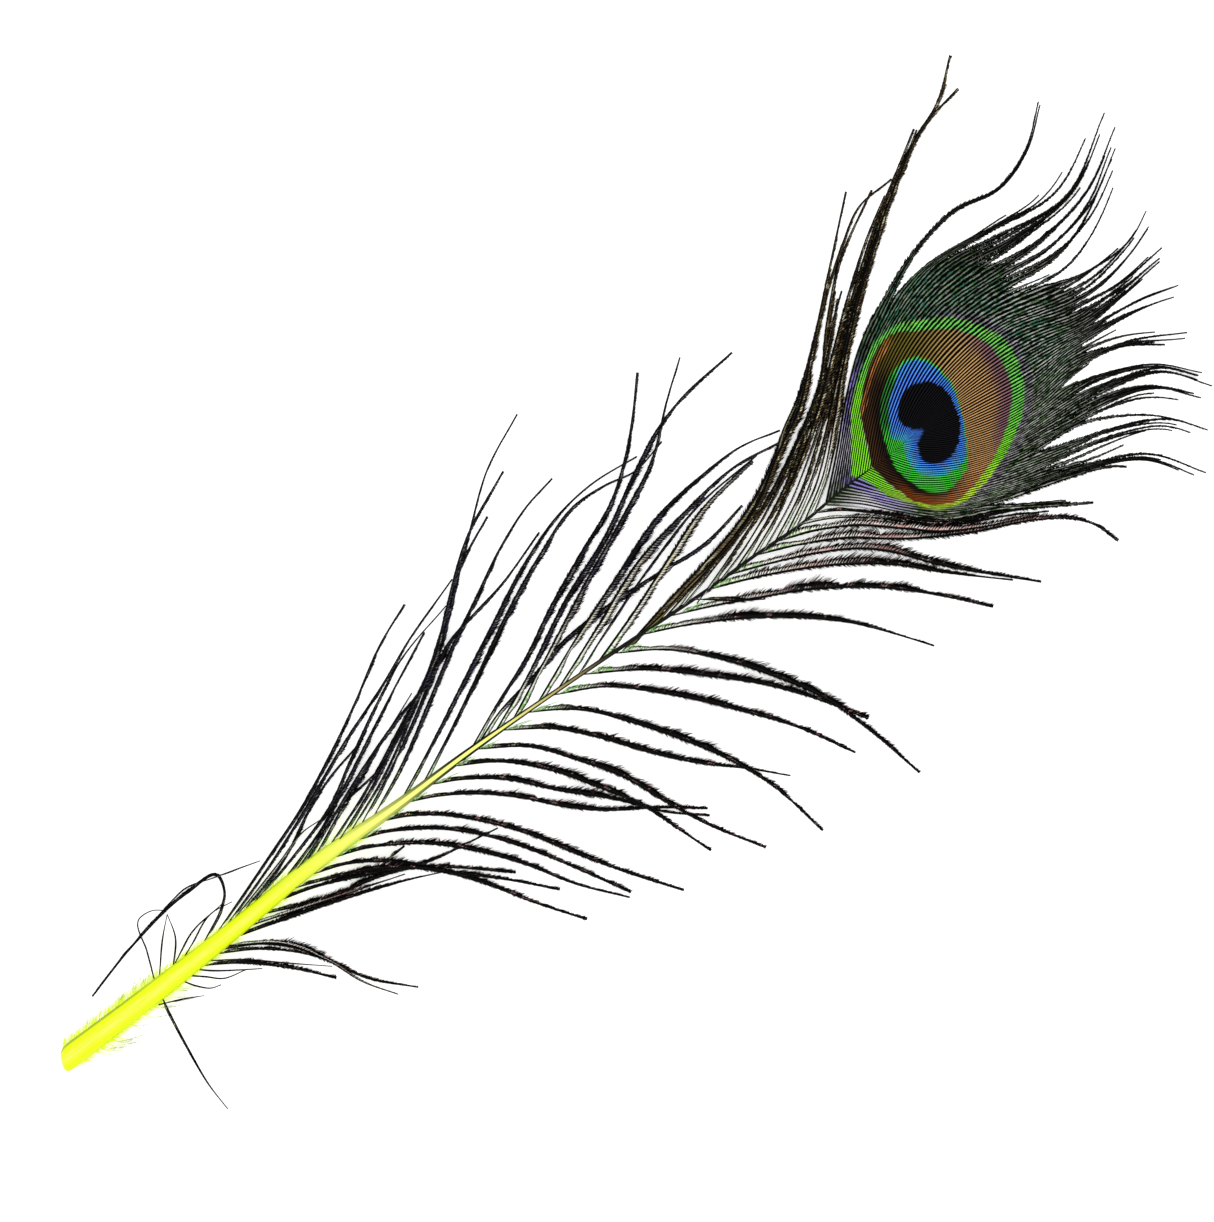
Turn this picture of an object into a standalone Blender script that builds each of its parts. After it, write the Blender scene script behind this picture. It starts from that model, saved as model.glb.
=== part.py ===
"""Peacock tail feather, lying face up on a flat surface with its loose barbs spread out.

The frame is metres, +X along the feather from the quill's cut end to the tip of the eye, +Y to
the feather's left, +Z up.  The origin is under the middle of the feather, on the surface that
it lies on.

Every route is laid out on a flat drawing sheet in millimetres, u to the right and v up, with the
quill's cut end in the sheet's lower left corner.  The shaft crosses the sheet at LEAN degrees.
place() turns a point of the sheet into the feather's own frame.
"""
import math

import bmesh
import bpy

MM = 0.001

# Driving dimensions (mm and degrees)
LEAN = 36.6                 # slope of the shaft on the drawing sheet
FEATHER_MIDDLE = (141.9, 1.0)   # middle of the whole feather, along and across the shaft
QUILL_REST = 48.0           # length of quill that lies on the surface
ARCH_HEIGHT = 6.5           # lift of the shaft at the top of its bow
ARCH_TOP = 125.0            # where the bow is highest, measured from the cut end
SHAFT_END_LIFT = 0.75       # underside of the shaft's thin end above the surface
BARB_WIDTH = 0.95           # one loose barb with its fringe
BARB_THICKNESS = 0.45
BARB_ROOT_SHARE = 0.5       # width of a barb at its root, as a share of its full width
BARB_OPENING = 0.15         # share of its length over which it reaches its full width
BARB_TAPER_START = 0.45     # share of its length at which it begins to narrow
BARB_TIP_LOSS = 0.65        # share of the width that is gone at the tip
BARB_RING_SPACING = 7.0
BARB_FEWEST_RINGS = 6
BARB_MOST_RINGS = 12
EYE_THICKNESS = 0.8
GAP = 0.3                   # clearance between neighbouring pieces

# Cross section of a loose barb: share of its width across, share of its thickness up
BARB_SECTION = [(0.5, 0.0), (-0.5, 0.0), (-0.2, 1.0), (0.2, 1.0)]

# Shaft: places along it (mm from the cut end) and the radius there
SHAFT_RADII = [(0, 2.5), (24, 2.2), (42, 1.85), (65, 1.6), (85, 1.1), (94, 0.86), (103, 0.62),
               (110, 0.48), (120, 0.38), (150, 0.33), (214, 0.27)]
SHAFT_SIDES = 12
SHAFT_RINGS = 30
SHAFT_FIRST_RING = 4.0      # where the plain rings begin, past the slanted cut
CUT_SLANT = 0.42            # slant of the cut across the quill's end
CUT_ROUNDING = 0.6          # length of the rounded lip of the cut
CUT_LIP = 0.8               # radius of the cut's lip, as a share of the quill's

# Heights of everything that leaves the shaft
FALL_REACH = 34.0           # distance from the shaft at which a barb meets the surface
CURL_START = 48.0           # beyond this distance the tips lift again
CURL_REACH = 35.0
CURL_HEIGHT = 3.0
LAYER_STEP = 0.78           # lift of a barb that crosses over another
LAYER_RAMP = 5.5            # distance from the shaft over which that lift grows
CROSSING_STEPS = 12         # places tested for a crossing in each stretch of a barb
CROSSING_REACH = 3.0        # barbs further apart than this are not tested

# The shaft's line on the sheet
SHAFT_ROUTE = [(1, 2), (13.2, 11.2), (31, 25), (51.4, 41.6), (67.6, 53), (82, 63.8), (96.6, 74),
               (105.4, 80), (116.8, 87.6), (130, 96.4), (139.4, 103.2), (148, 109),
               (157.4, 116.8), (166.4, 123.4), (172, 128.2)]

# Loose barbs on the left of the shaft, from the quill towards the eye
LEFT_ROUTES = [
    [(32.4, 28.8), (41.6, 42.4), (48, 52), (54, 63), (58.6, 72.6), (64, 85.2), (68.8, 93.2)],
    [(34.6, 30.6), (41.6, 40.4), (48, 50.4), (57, 65.6), (65, 77.8), (69.4, 85.4), (78.4, 98.2)],
    [(38, 33.2), (45, 42.4), (49.6, 51.6), (54, 58.6), (59, 64.4)],
    [(40.4, 35.2), (48, 44.4), (54.4, 53.4), (58, 61.6), (63, 72.4), (68.2, 82), (77.2, 92.8)],
    [(45.6, 39), (52.4, 48.4), (57, 57), (63.4, 69.6), (69.6, 81.6), (72.8, 87.6)],
    [(48, 40.8), (54, 49.6), (59.4, 58.4), (68, 70.8), (73, 77), (76, 84.4), (78.4, 94),
     (82, 108), (85.4, 120), (91.4, 131.2)],
    [(51.6, 43.6), (57, 53.4), (64, 65), (70.4, 75.4)],
    [(54.8, 46), (60.4, 54.6), (67.4, 67.4), (73.6, 79.6), (76.4, 88.4), (80.4, 101.6),
     (85.4, 110.8)],
    [(57, 47.6), (62.6, 56.8), (69.4, 70.4), (75.2, 83), (77.2, 91.6), (81.4, 106.6),
     (88.6, 119.8)],
    [(61.4, 51), (66.4, 60.4), (71, 70.4), (74.8, 79.6), (77.6, 85.2), (83, 91.4), (88, 96.8),
     (95.8, 107.6)],
    [(63.8, 52.4), (68.4, 61), (74, 74), (78.6, 85), (83, 94), (88, 104.4), (93, 112.4),
     (98.4, 118.4)],
    [(68.8, 54.8), (73.6, 63.6), (80.4, 77), (86, 88), (93, 101.4), (100, 111.4), (106, 117),
     (115.4, 122.8)],
    [(73, 57.8), (78, 67.4), (83.6, 79), (89, 90.4), (96, 103), (103, 113), (109, 117),
     (115, 119.8), (120.4, 125.8)],
    [(82, 63.6), (87.4, 73), (93, 82), (98.4, 93), (104.4, 103.6), (110.4, 114), (113, 122.4),
     (114.4, 130), (115.4, 139.6)],
    [(83.6, 65), (88, 71.6), (94, 78), (101, 86), (109, 92.4), (120, 99.6), (129, 105.4),
     (136.4, 113)],
    [(87.2, 67.7), (92.8, 77.2), (101.4, 94.4), (109, 106.6), (115.4, 120.4), (119.4, 128),
     (124, 134), (134.4, 143.6)],
    [(91, 70.6), (97.6, 83), (104.4, 96), (112.6, 110.6), (118.4, 122), (121.4, 134),
     (124, 142.6)],
    [(96, 74), (103.4, 86.4), (111, 98), (120.4, 111.6), (128, 118.6), (136, 124.6), (144, 128)],
    [(100, 76.6), (107.6, 88.6), (116, 102), (124, 110.6), (136, 121.4), (143.6, 125.4)],
    [(108, 82), (115.4, 92.4), (121.6, 102), (128, 111.6), (138.4, 122)],
]

# The tall barbs beside the eye; the first one is the thick brown strand
CREST_ROUTES = [
    [(113.4, 84.6), (121, 93), (130, 102.6), (136, 109.8), (140.4, 117), (143.8, 125),
     (147.6, 134.6), (151.8, 150)],
    [(120.8, 90.2), (129, 99.4), (135.4, 106.6), (140, 114), (143.4, 122.6), (147.8, 132),
     (150.4, 143.6), (153.2, 157), (157.2, 175.8)],
    [(128.4, 94.6), (133.6, 102), (141.6, 114.4), (147, 126.6), (150.8, 136.4), (153.8, 151),
     (157, 166.4), (159.6, 172.4), (166.4, 178.4)],
    [(134.8, 99.6), (140.4, 108), (145.2, 117), (149.2, 127.6), (152.6, 138.4), (155.6, 154.4)],
    [(138.4, 102.4), (143.4, 111), (148, 121.4), (151.8, 132.4), (154.8, 144), (158, 156),
     (161.6, 167), (165, 175)],
    [(143.2, 105.8), (148.2, 115.6), (151.8, 126.4), (154.8, 137.6), (157.6, 149.6),
     (161.2, 161.6), (165, 172.8), (170.8, 186), (175.4, 193.4), (178, 203)],
    [(145.4, 107.2), (149.8, 116.6), (153.2, 127.6), (155.6, 138.4), (158.4, 150.4),
     (162, 162.4), (167.8, 178.4), (172.2, 188), (179.6, 196.4)],
    [(149.2, 110.2), (152.6, 118.6), (154.8, 129), (156.8, 141), (159.6, 153), (164, 167.6)],
]
BROWN_STRAND_WIDTH = 1.8

# Loose barbs on the right of the shaft, from the quill towards the eye
RIGHT_ROUTES = [
    [(29.2, 21), (35, 21.4), (48, 20), (55.2, 18.2)],
    [(32.4, 24.2), (40.4, 25.2), (48, 24.2), (54, 21.6), (61.6, 18.2), (71.6, 16.4)],
    [(35.6, 26.8), (44, 29.8), (58, 34.6), (72, 38.6), (77.6, 39.8)],
    [(40.4, 31.2), (53, 34.2), (63.6, 38.6), (74, 41.8), (84, 46.6), (87.6, 48.4)],
    [(44.4, 34.2), (51.6, 36.8), (59, 38.6), (68, 40.2), (76, 40.6), (91.2, 39.4)],
    [(48, 36.8), (54, 38.4), (61, 40), (69, 40.6), (78, 39.6), (90, 38), (100, 36)],
    [(51.6, 39.6), (57, 41.2), (65, 41.8), (72, 40.6), (79, 39.2), (86, 37), (94, 33.8),
     (105.4, 30)],
    [(56, 43), (61, 44.4), (67, 45.2), (73, 45.4), (83, 44), (93, 41.2), (103, 37.2),
     (114, 34.4)],
    [(60.4, 46.4), (65, 47.6), (70, 48.2), (75, 48.4), (85, 47), (95, 43.8), (104, 40),
     (114.2, 35.4)],
    [(64.8, 50), (69, 50.8), (74, 51.2), (84, 50), (94, 47.2), (103, 43.4), (113, 39.6),
     (124.8, 35.8)],
    [(70, 53.8), (75, 54.8), (83, 55.4), (91, 54.8), (102, 52.6), (108, 52), (120, 52.4),
     (129.6, 52.2)],
    [(75, 57.4), (80, 58.2), (88, 58.4), (100, 56), (111, 54.2), (121, 51.6), (130, 50.8)],
    [(79.2, 61), (88, 61.8), (98, 60.2), (108, 56.6), (116, 53.2), (124, 48), (130.2, 43.8)],
    [(84, 64.4), (94, 64.8), (104, 62), (113, 58.6), (121, 53.8), (129, 49.4), (141.2, 44.4)],
    [(89.6, 68.2), (99, 68.4), (108, 66.6), (118, 63.6), (128, 61.4), (138, 60.2),
     (146.2, 58.8)],
    [(94.6, 71.8), (99, 72.2), (104, 72.2), (114, 69.8), (124, 66.4), (133, 62.6), (143, 56.6),
     (152.6, 47.8)],
    [(100, 75.4), (109, 76.8), (120, 75.6), (136, 72), (147, 68.8), (159.2, 63.4)],
    [(106, 79.4), (117, 80.2), (129, 79), (141, 77.2), (151, 74.4), (161.8, 70.2)],
    [(112, 83.6), (121, 84.2), (131, 82.6), (142, 79.2), (152, 75), (162, 68), (172, 59.4)],
    [(117.2, 87.4), (126, 89.2), (136, 90.4), (148, 90.6), (158, 89.6), (168, 87), (175, 84.8)],
    [(124, 91.4), (132, 93.2), (140, 94.6), (148, 96), (156, 96.6), (164, 96.6), (178, 94.6),
     (186.8, 92.6)],
    [(130.4, 96.4), (135, 97.6), (145, 99.8), (156, 101.2), (167, 101.2), (177, 99.6),
     (190.8, 98)],
    [(134.6, 99.4), (146, 102.4), (152, 103.6), (160, 104.4), (165, 104), (175.8, 101.2),
     (196.4, 97.6)],
    [(140.4, 103.4), (148, 105.2), (156, 106.4), (170, 106.4), (182, 107.6), (196, 110.2),
     (202, 110.4), (207, 109.2), (211.8, 105.8)],
    [(144.6, 106.2), (152, 108.2), (158, 109), (169, 108.4), (176, 107.8), (182.4, 108.4),
     (196, 111.2)],
]

# Wild strands at the quill
STRAY_ROUTES = [
    [(20.4, 14.2), (25.4, 4.4), (30, -3.6), (33.4, -8)],
    [(29.4, 26.6), (32.2, 32.4), (32.8, 35.4), (31.4, 38.8), (25.4, 35.4), (14.8, 25.2),
     (6.4, 14.6)],
]
STRAY_WIDTH = 0.7

# Locks of the eye fan, counter to the clock from its lower right rim round the shaft's end
EYE_ROUTES = [
    [(153.4, 113.4), (160, 113), (167.2, 111.6), (174.8, 110.4), (188.8, 112.4),
     (206.8, 114.4)],
    [(154.8, 114.6), (161.2, 114), (168.2, 112.4), (175.6, 111.4), (189.6, 113.8), (206, 116.6)],
    [(156.2, 115.8), (162.4, 114.8), (169.4, 113.2), (176.8, 112.4), (191.4, 115.4), (205, 120),
     (216, 121.6), (224.4, 118.4)],
    [(157.8, 117), (164, 115.4), (171, 113.8), (178.4, 113.6), (192.4, 117), (206, 121.2),
     (218, 122.8), (229.2, 118.8)],
    [(159.6, 118.4), (165.6, 116), (172.8, 114.8), (187, 117), (199.6, 121.6), (211.6, 126),
     (217, 127.2), (224.8, 125.8)],
    [(161.2, 119.6), (167.2, 117), (174.2, 116.4), (187.8, 119.2), (199.6, 123.6), (210.8, 128),
     (222.4, 129.8), (229.6, 127.6)],
    [(162.8, 120.8), (168.8, 118.6), (175.6, 118.2), (188.6, 121.4), (199.8, 126), (210, 129.8),
     (221, 132.2)],
    [(164.4, 122), (170.4, 120), (177, 120), (189.6, 123.6), (199.6, 128.6), (209.6, 133.4),
     (215.2, 134.6), (226.4, 133.2)],
    [(166, 123.2), (171.8, 121.6), (178.2, 122), (190.2, 125.4), (199.4, 130.8), (209, 136.6),
     (221, 140.2), (230.8, 137.4)],
    [(167.4, 124.2), (173.2, 123), (179.4, 123.8), (190.6, 127.2), (199.2, 132.8),
     (207.8, 138.2), (220, 142), (229.2, 141.4)],
    [(168.8, 125.4), (174.4, 124.8), (185.8, 127.2), (195, 131.8), (202.6, 137.6),
     (212.4, 141.8), (222.2, 144.6)],
    [(170, 126.4), (175.2, 126.4), (186, 129.2), (195, 134), (202, 139.8), (211.2, 144.6),
     (225.8, 146.6)],
    [(171, 127.2), (176, 127.8), (186, 131.4), (195, 136.2), (202.2, 142.4), (211.2, 146.6),
     (224.8, 148.6)],
    [(171.8, 128), (176.4, 129.2), (186, 133.8), (194.8, 138.6), (202.6, 144.8), (211.2, 149.6),
     (223.2, 153.6)],
    [(172.2, 128.4), (180.4, 133.2), (189.6, 138.6), (198.4, 144), (207.2, 149), (217, 154.4),
     (224, 156.6)],
    [(171.6, 127.8), (178.4, 133.6), (187.2, 140), (196.4, 145.4), (206.4, 150), (216, 155.8),
     (222.6, 160.4)],
    [(170.4, 126.8), (176, 133.4), (184, 140.8), (193.4, 147), (204, 151), (214, 156.4),
     (222.6, 162)],
    [(169.2, 125.8), (173.8, 133.2), (181.2, 141.4), (190.2, 148.4), (200.6, 152.4),
     (211, 156.8), (220.4, 164.8)],
    [(167.8, 124.6), (171.6, 132.8), (178.4, 141.8), (187.4, 149.4), (197.4, 153.8),
     (208.6, 158.4), (219.6, 167.6)],
    [(166.4, 123.4), (169.6, 132.4), (175.6, 142.2), (184.4, 150.4), (194.4, 155.6),
     (205.6, 160), (214.4, 167.4), (216.8, 172.2)],
    [(165, 122.4), (167.8, 132), (173, 142.2), (181.2, 151), (191, 157.4), (202, 161.6),
     (212.2, 172.4)],
    [(163.4, 121.2), (165.8, 131.4), (170.4, 142), (178.4, 151.6), (188.6, 158.8),
     (199.6, 164.2), (208, 170.4), (214, 180.4)],
    [(161.8, 120.2), (163.8, 130.4), (167.8, 141.4), (175.2, 151.8), (185.6, 159.2),
     (197.4, 166.2), (206.4, 176.4), (211.4, 189)],
    [(160.2, 119), (162, 129.6), (165.4, 140.4), (172, 151.4), (181.6, 160), (193.6, 166.4),
     (203.2, 175.4), (210, 188.8)],
    [(158.6, 117.8), (160.4, 128.6), (163.4, 139.6), (169, 150.8), (178, 160.4), (190, 167.2),
     (201.2, 174.8), (208.8, 191.6)],
    [(157.2, 116.6), (159, 128), (161.6, 139), (166.6, 150), (174.4, 160.4), (186, 167.8),
     (199, 175), (207.4, 188.4)],
    [(155.6, 115.4), (157.6, 127), (160.2, 138.4), (164.4, 149), (171, 159.6), (181, 168.8),
     (195, 173.4), (202.2, 180.2)],
    [(153.6, 113.6), (155.6, 123), (157.6, 134.4), (160.4, 144.8), (164.8, 154), (170.8, 163.6),
     (179, 172.2), (188, 176.8), (193.2, 184.4), (195.6, 193.8)],
]
EYE_CLOSED_RINGS = 8        # rings of the fan whose locks touch each other
EYE_FREE_RINGS = 6          # rings beyond, where each lock runs to its own tip
EYE_CLOSED_SHARE = 0.66     # share of a lock's length that is closed
EYE_SIDE_WIDTH = 1.3        # width of the outermost locks
EYE_TIP_WIDTH = 0.5
EYE_RIDGE = 0.15            # rise of a lock's middle line over its edges
EYE_ROOT_GAP = 0.45         # clearance between the locks' roots and the shaft

# Down hairs along the quill: where they end on each side, and how far they reach out
DOWN_START = 4.0
LEFT_DOWN_END = 27.0
LEFT_DOWN_REACH = 2.2
RIGHT_DOWN_END = 21.0
RIGHT_DOWN_REACH = 5.0
DOWN_TUFT_SPACING = 2.6
DOWN_ROOT_HEIGHT = 1.5      # height at which the down leaves the quill
DOWN_THICKNESS = 0.6
DOWN_BASE = 0.5             # width of the closed strip that the tufts grow from
DOWN_LEAN = 3.0             # how far a tuft's tip points forward along the quill
DOWN_SHORTER = 0.25         # share by which every other tuft is shorter

COLOURS = {
    "shaft": (0.78, 0.95, 0.02),
    "barb": (0.035, 0.028, 0.022),
    "brown": (0.07, 0.045, 0.03),
    "eye": (0.10, 0.20, 0.06),
    "down": (0.55, 0.66, 0.05),
}


# ---------------------------------------------------------------- routes and heights

def ease(t):
    """Smooth step from 0 at t = 0 to 1 at t = 1."""
    t = min(max(t, 0.0), 1.0)
    return t * t * (3.0 - 2.0 * t)


def between(pairs, x):
    """Straight-line value at x between listed (x, value) pairs."""
    for (x0, a), (x1, b) in zip(pairs, pairs[1:]):
        if x <= x1:
            return a + (b - a) * max(0.0, (x - x0) / (x1 - x0))
    return pairs[-1][1]


def place(point):
    """Drawing sheet (u, v) to the feather's frame (x, y), all in mm."""
    lean = math.radians(LEAN)
    x = point[0] * math.cos(lean) + point[1] * math.sin(lean)
    y = point[1] * math.cos(lean) - point[0] * math.sin(lean)
    return (x - FEATHER_MIDDLE[0], y - FEATHER_MIDDLE[1])


def slope_at(points, lengths, i):
    """Direction of the smooth curve through the points at point i, per mm of its length."""
    if i == 0:
        j, k = 0, 1
    elif i == len(points) - 1:
        j, k = i - 1, i
    else:
        before = lengths[i] - lengths[i - 1]
        after = lengths[i + 1] - lengths[i]
        return tuple(((points[i][c] - points[i - 1][c]) / before * after
                      + (points[i + 1][c] - points[i][c]) / after * before) / (before + after)
                     for c in (0, 1))
    return tuple((points[k][c] - points[j][c]) / (lengths[k] - lengths[j]) for c in (0, 1))


def smooth_curve(points, step=0.5):
    """Closely spaced points of the smooth curve that passes through all the given points."""
    lengths = [0.0]
    for a, b in zip(points, points[1:]):
        lengths.append(lengths[-1] + math.dist(a, b))
    slopes = [slope_at(points, lengths, i) for i in range(len(points))]
    curve = []
    for i in range(len(points) - 1):
        span = lengths[i + 1] - lengths[i]
        count = max(2, round(span / step))
        for k in range(count):
            t = k / count
            weights = (2 * t**3 - 3 * t**2 + 1, (t**3 - 2 * t**2 + t) * span,
                       3 * t**2 - 2 * t**3, (t**3 - t**2) * span)
            parts = (points[i], slopes[i], points[i + 1], slopes[i + 1])
            curve.append(tuple(sum(w * p[c] for w, p in zip(weights, parts)) for c in (0, 1)))
    curve.append(tuple(points[-1]))
    return curve


def even_points(curve, count, start=0.0, end=1.0):
    """count + 1 points at even distances along the curve, from one share of it to another."""
    lengths = [0.0]
    for a, b in zip(curve, curve[1:]):
        lengths.append(lengths[-1] + math.dist(a, b))
    points = []
    i = 0
    for k in range(count + 1):
        target = lengths[-1] * (start + (end - start) * k / count)
        while i < len(curve) - 2 and lengths[i + 1] < target:
            i += 1
        share = (target - lengths[i]) / (lengths[i + 1] - lengths[i])
        points.append(tuple(curve[i][c] + (curve[i + 1][c] - curve[i][c]) * share
                            for c in (0, 1)))
    return points


SHAFT_CURVE = smooth_curve([place(p) for p in SHAFT_ROUTE])


def shaft_radius(along):
    return between(SHAFT_RADII, along)


def shaft_underside(along):
    """Height of the shaft's underside: flat along the quill, then one long bow."""
    end = SHAFT_RADII[-1][0]
    if along < ARCH_TOP:
        return ARCH_HEIGHT * ease((along - QUILL_REST) / (ARCH_TOP - QUILL_REST))
    drop = ease((along - ARCH_TOP) / (end - ARCH_TOP))
    return ARCH_HEIGHT + (SHAFT_END_LIFT - ARCH_HEIGHT) * drop


def shaft_height(along):
    """Height of the shaft's middle line."""
    flat_side = math.cos(math.pi / SHAFT_SIDES)
    return shaft_underside(along) + shaft_radius(along) * flat_side


def nearest_on_shaft(point):
    """Distance from a point to the shaft's line in plan, and how far along the shaft that is."""
    best = min(range(len(SHAFT_CURVE)), key=lambda i: math.dist(SHAFT_CURVE[i], point))
    distance = math.dist(SHAFT_CURVE[best], point)
    return distance, SHAFT_CURVE[best][0] - SHAFT_CURVE[0][0]


def layer_lift(point, layer):
    """Lift of a barb in a layer, growing from nothing where it leaves the shaft."""
    return layer * LAYER_STEP * ease(nearest_on_shaft(point)[0] / LAYER_RAMP)


def surface_height(point, half_thickness):
    """Height of the underside of what lies at a plan point, falling from shaft to surface."""
    distance, along = nearest_on_shaft(point)
    root = shaft_height(along) - half_thickness
    height = root * (1.0 - ease(distance / FALL_REACH))
    return height + CURL_HEIGHT * ease((distance - CURL_START) / CURL_REACH)


def clear_of_shaft(curve, clearance):
    """The part of a curve that stays outside the shaft by the clearance."""
    kept = []
    for point in curve:
        distance, along = nearest_on_shaft(point)
        if distance >= shaft_radius(along) + clearance:
            kept.append(point)
    return kept


def side_directions(points):
    """Unit vectors across a row of plan points, to the left of its direction."""
    sides = []
    for i in range(len(points)):
        a = points[max(i - 1, 0)]
        b = points[min(i + 1, len(points) - 1)]
        length = math.dist(a, b)
        sides.append((-(b[1] - a[1]) / length, (b[0] - a[0]) / length))
    return sides


# ---------------------------------------------------------------- objects

def make_material(name):
    material = bpy.data.materials.new(name)
    material.use_nodes = True
    shader = material.node_tree.nodes["Principled BSDF"]
    shader.inputs["Base Color"].default_value = (*COLOURS[name], 1.0)
    shader.inputs["Roughness"].default_value = 0.6
    return material


def finish_object(name, mesh_data, material):
    bmesh.ops.recalc_face_normals(mesh_data, faces=mesh_data.faces)
    mesh = bpy.data.meshes.new(name)
    mesh_data.to_mesh(mesh)
    mesh_data.free()
    mesh.materials.append(material)
    obj = bpy.data.objects.new(name, mesh)
    bpy.context.scene.collection.objects.link(obj)
    return obj


def add_vertex(mesh_data, x, y, z):
    return mesh_data.verts.new((x * MM, y * MM, z * MM))


def loft(name, rings, material):
    """Closed solid through rings of (x, y, z) points in mm, with a flat cap on each end."""
    mesh_data = bmesh.new()
    rows = [[add_vertex(mesh_data, *point) for point in ring] for ring in rings]
    for row, following in zip(rows, rows[1:]):
        for k in range(len(row)):
            nxt = (k + 1) % len(row)
            mesh_data.faces.new((row[k], row[nxt], following[nxt], following[k]))
    mesh_data.faces.new(rows[0][::-1])
    mesh_data.faces.new(rows[-1])
    return finish_object(name, mesh_data, material)


def build_shaft(material):
    """Twelve-sided tapering tube with a flat side down and a slanted, rounded cut end."""
    total = SHAFT_CURVE[-1][0] - SHAFT_CURVE[0][0]
    pace = (total - SHAFT_FIRST_RING) / SHAFT_RINGS
    stations = [0.0, CUT_ROUNDING] + [SHAFT_FIRST_RING + pace * k for k in range(SHAFT_RINGS + 1)]
    rings = []
    for along in stations:
        i = min(range(len(SHAFT_CURVE)),
                key=lambda n: abs(SHAFT_CURVE[n][0] - SHAFT_CURVE[0][0] - along))
        centre_x, centre_y = SHAFT_CURVE[i]
        centre_z = shaft_height(along)
        lip = CUT_LIP if along == 0.0 else 1.0
        slant = CUT_SLANT if along <= CUT_ROUNDING else 0.0
        ring = []
        for k in range(SHAFT_SIDES):
            angle = 2 * math.pi * (k + 0.5) / SHAFT_SIDES - math.pi / 2
            across = shaft_radius(along) * lip * math.cos(angle)
            up = shaft_radius(along) * lip * math.sin(angle)
            ring.append((centre_x + slant * across, centre_y + across, centre_z + up))
        rings.append(ring)
    return loft("shaft", rings, material)


def barb_widths(count, width):
    """Widths along a barb: narrow where it leaves the shaft, full, then tapering to its tip."""
    widths = []
    for k in range(count + 1):
        t = k / count
        opening = BARB_ROOT_SHARE + (1.0 - BARB_ROOT_SHARE) * ease(t / BARB_OPENING)
        closing = 1.0 - BARB_TIP_LOSS * ease((t - BARB_TAPER_START) / (1.0 - BARB_TAPER_START))
        widths.append(width * opening * closing)
    return widths


class Barb:
    """A loose barb's plan points, widths and heights before it becomes a solid."""

    def __init__(self, name, route, width, material):
        self.name = name
        self.material = material
        curve = smooth_curve([place(p) for p in route])
        curve = clear_of_shaft(curve, GAP + width / 2)
        length = sum(math.dist(a, b) for a, b in zip(curve, curve[1:]))
        self.count = max(BARB_FEWEST_RINGS,
                         min(BARB_MOST_RINGS, round(length / BARB_RING_SPACING)))
        self.points = even_points(curve, self.count)
        self.widths = barb_widths(self.count, width)
        self.layer = 0

    def samples(self, layer):
        """(x, y, lift, half width) every fraction of a millimetre, for finding crossings."""
        stations = [(*point, layer_lift(point, layer), width / 2)
                    for point, width in zip(self.points, self.widths)]
        samples = []
        for first, second in zip(stations, stations[1:]):
            for n in range(CROSSING_STEPS):
                t = n / CROSSING_STEPS
                samples.append(tuple(a + (b - a) * t for a, b in zip(first, second)))
        return samples + stations[-1:]

    def solid(self):
        """Flat-bottomed strip with sloping sides, laid over the surface at its layer's lift."""
        rings = []
        for point, side, width in zip(self.points, side_directions(self.points), self.widths):
            lift = layer_lift(point, self.layer)
            ring = []
            for share, rise in BARB_SECTION:
                corner = (point[0] + side[0] * width * share, point[1] + side[1] * width * share)
                height = surface_height(corner, BARB_THICKNESS / 2) + lift
                ring.append((*corner, height + rise * BARB_THICKNESS))
            rings.append(ring)
        return loft(self.name, rings, self.material)


def touches(samples, others):
    """True where two sampled strips come closer than the gap, in plan and in lift."""
    for x, y, lift, half in samples:
        for other_x, other_y, other_lift, other_half in others:
            reach = half + other_half + GAP
            if abs(x - other_x) < reach and abs(lift - other_lift) < BARB_THICKNESS + GAP:
                if (x - other_x) ** 2 + (y - other_y) ** 2 < reach * reach:
                    return True
    return False


def stack_barbs(barbs):
    """Lift each barb to the lowest layer in which it touches no barb placed before it."""
    placed = []
    for barb in barbs:
        low = min(p[0] for p in barb.points) - CROSSING_REACH
        high = max(p[0] for p in barb.points) + CROSSING_REACH
        near = [sample for other in placed for sample in other if low < sample[0] < high]
        while touches(barb.samples(barb.layer), near):
            barb.layer += 1
        placed.append(barb.samples(barb.layer))


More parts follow.
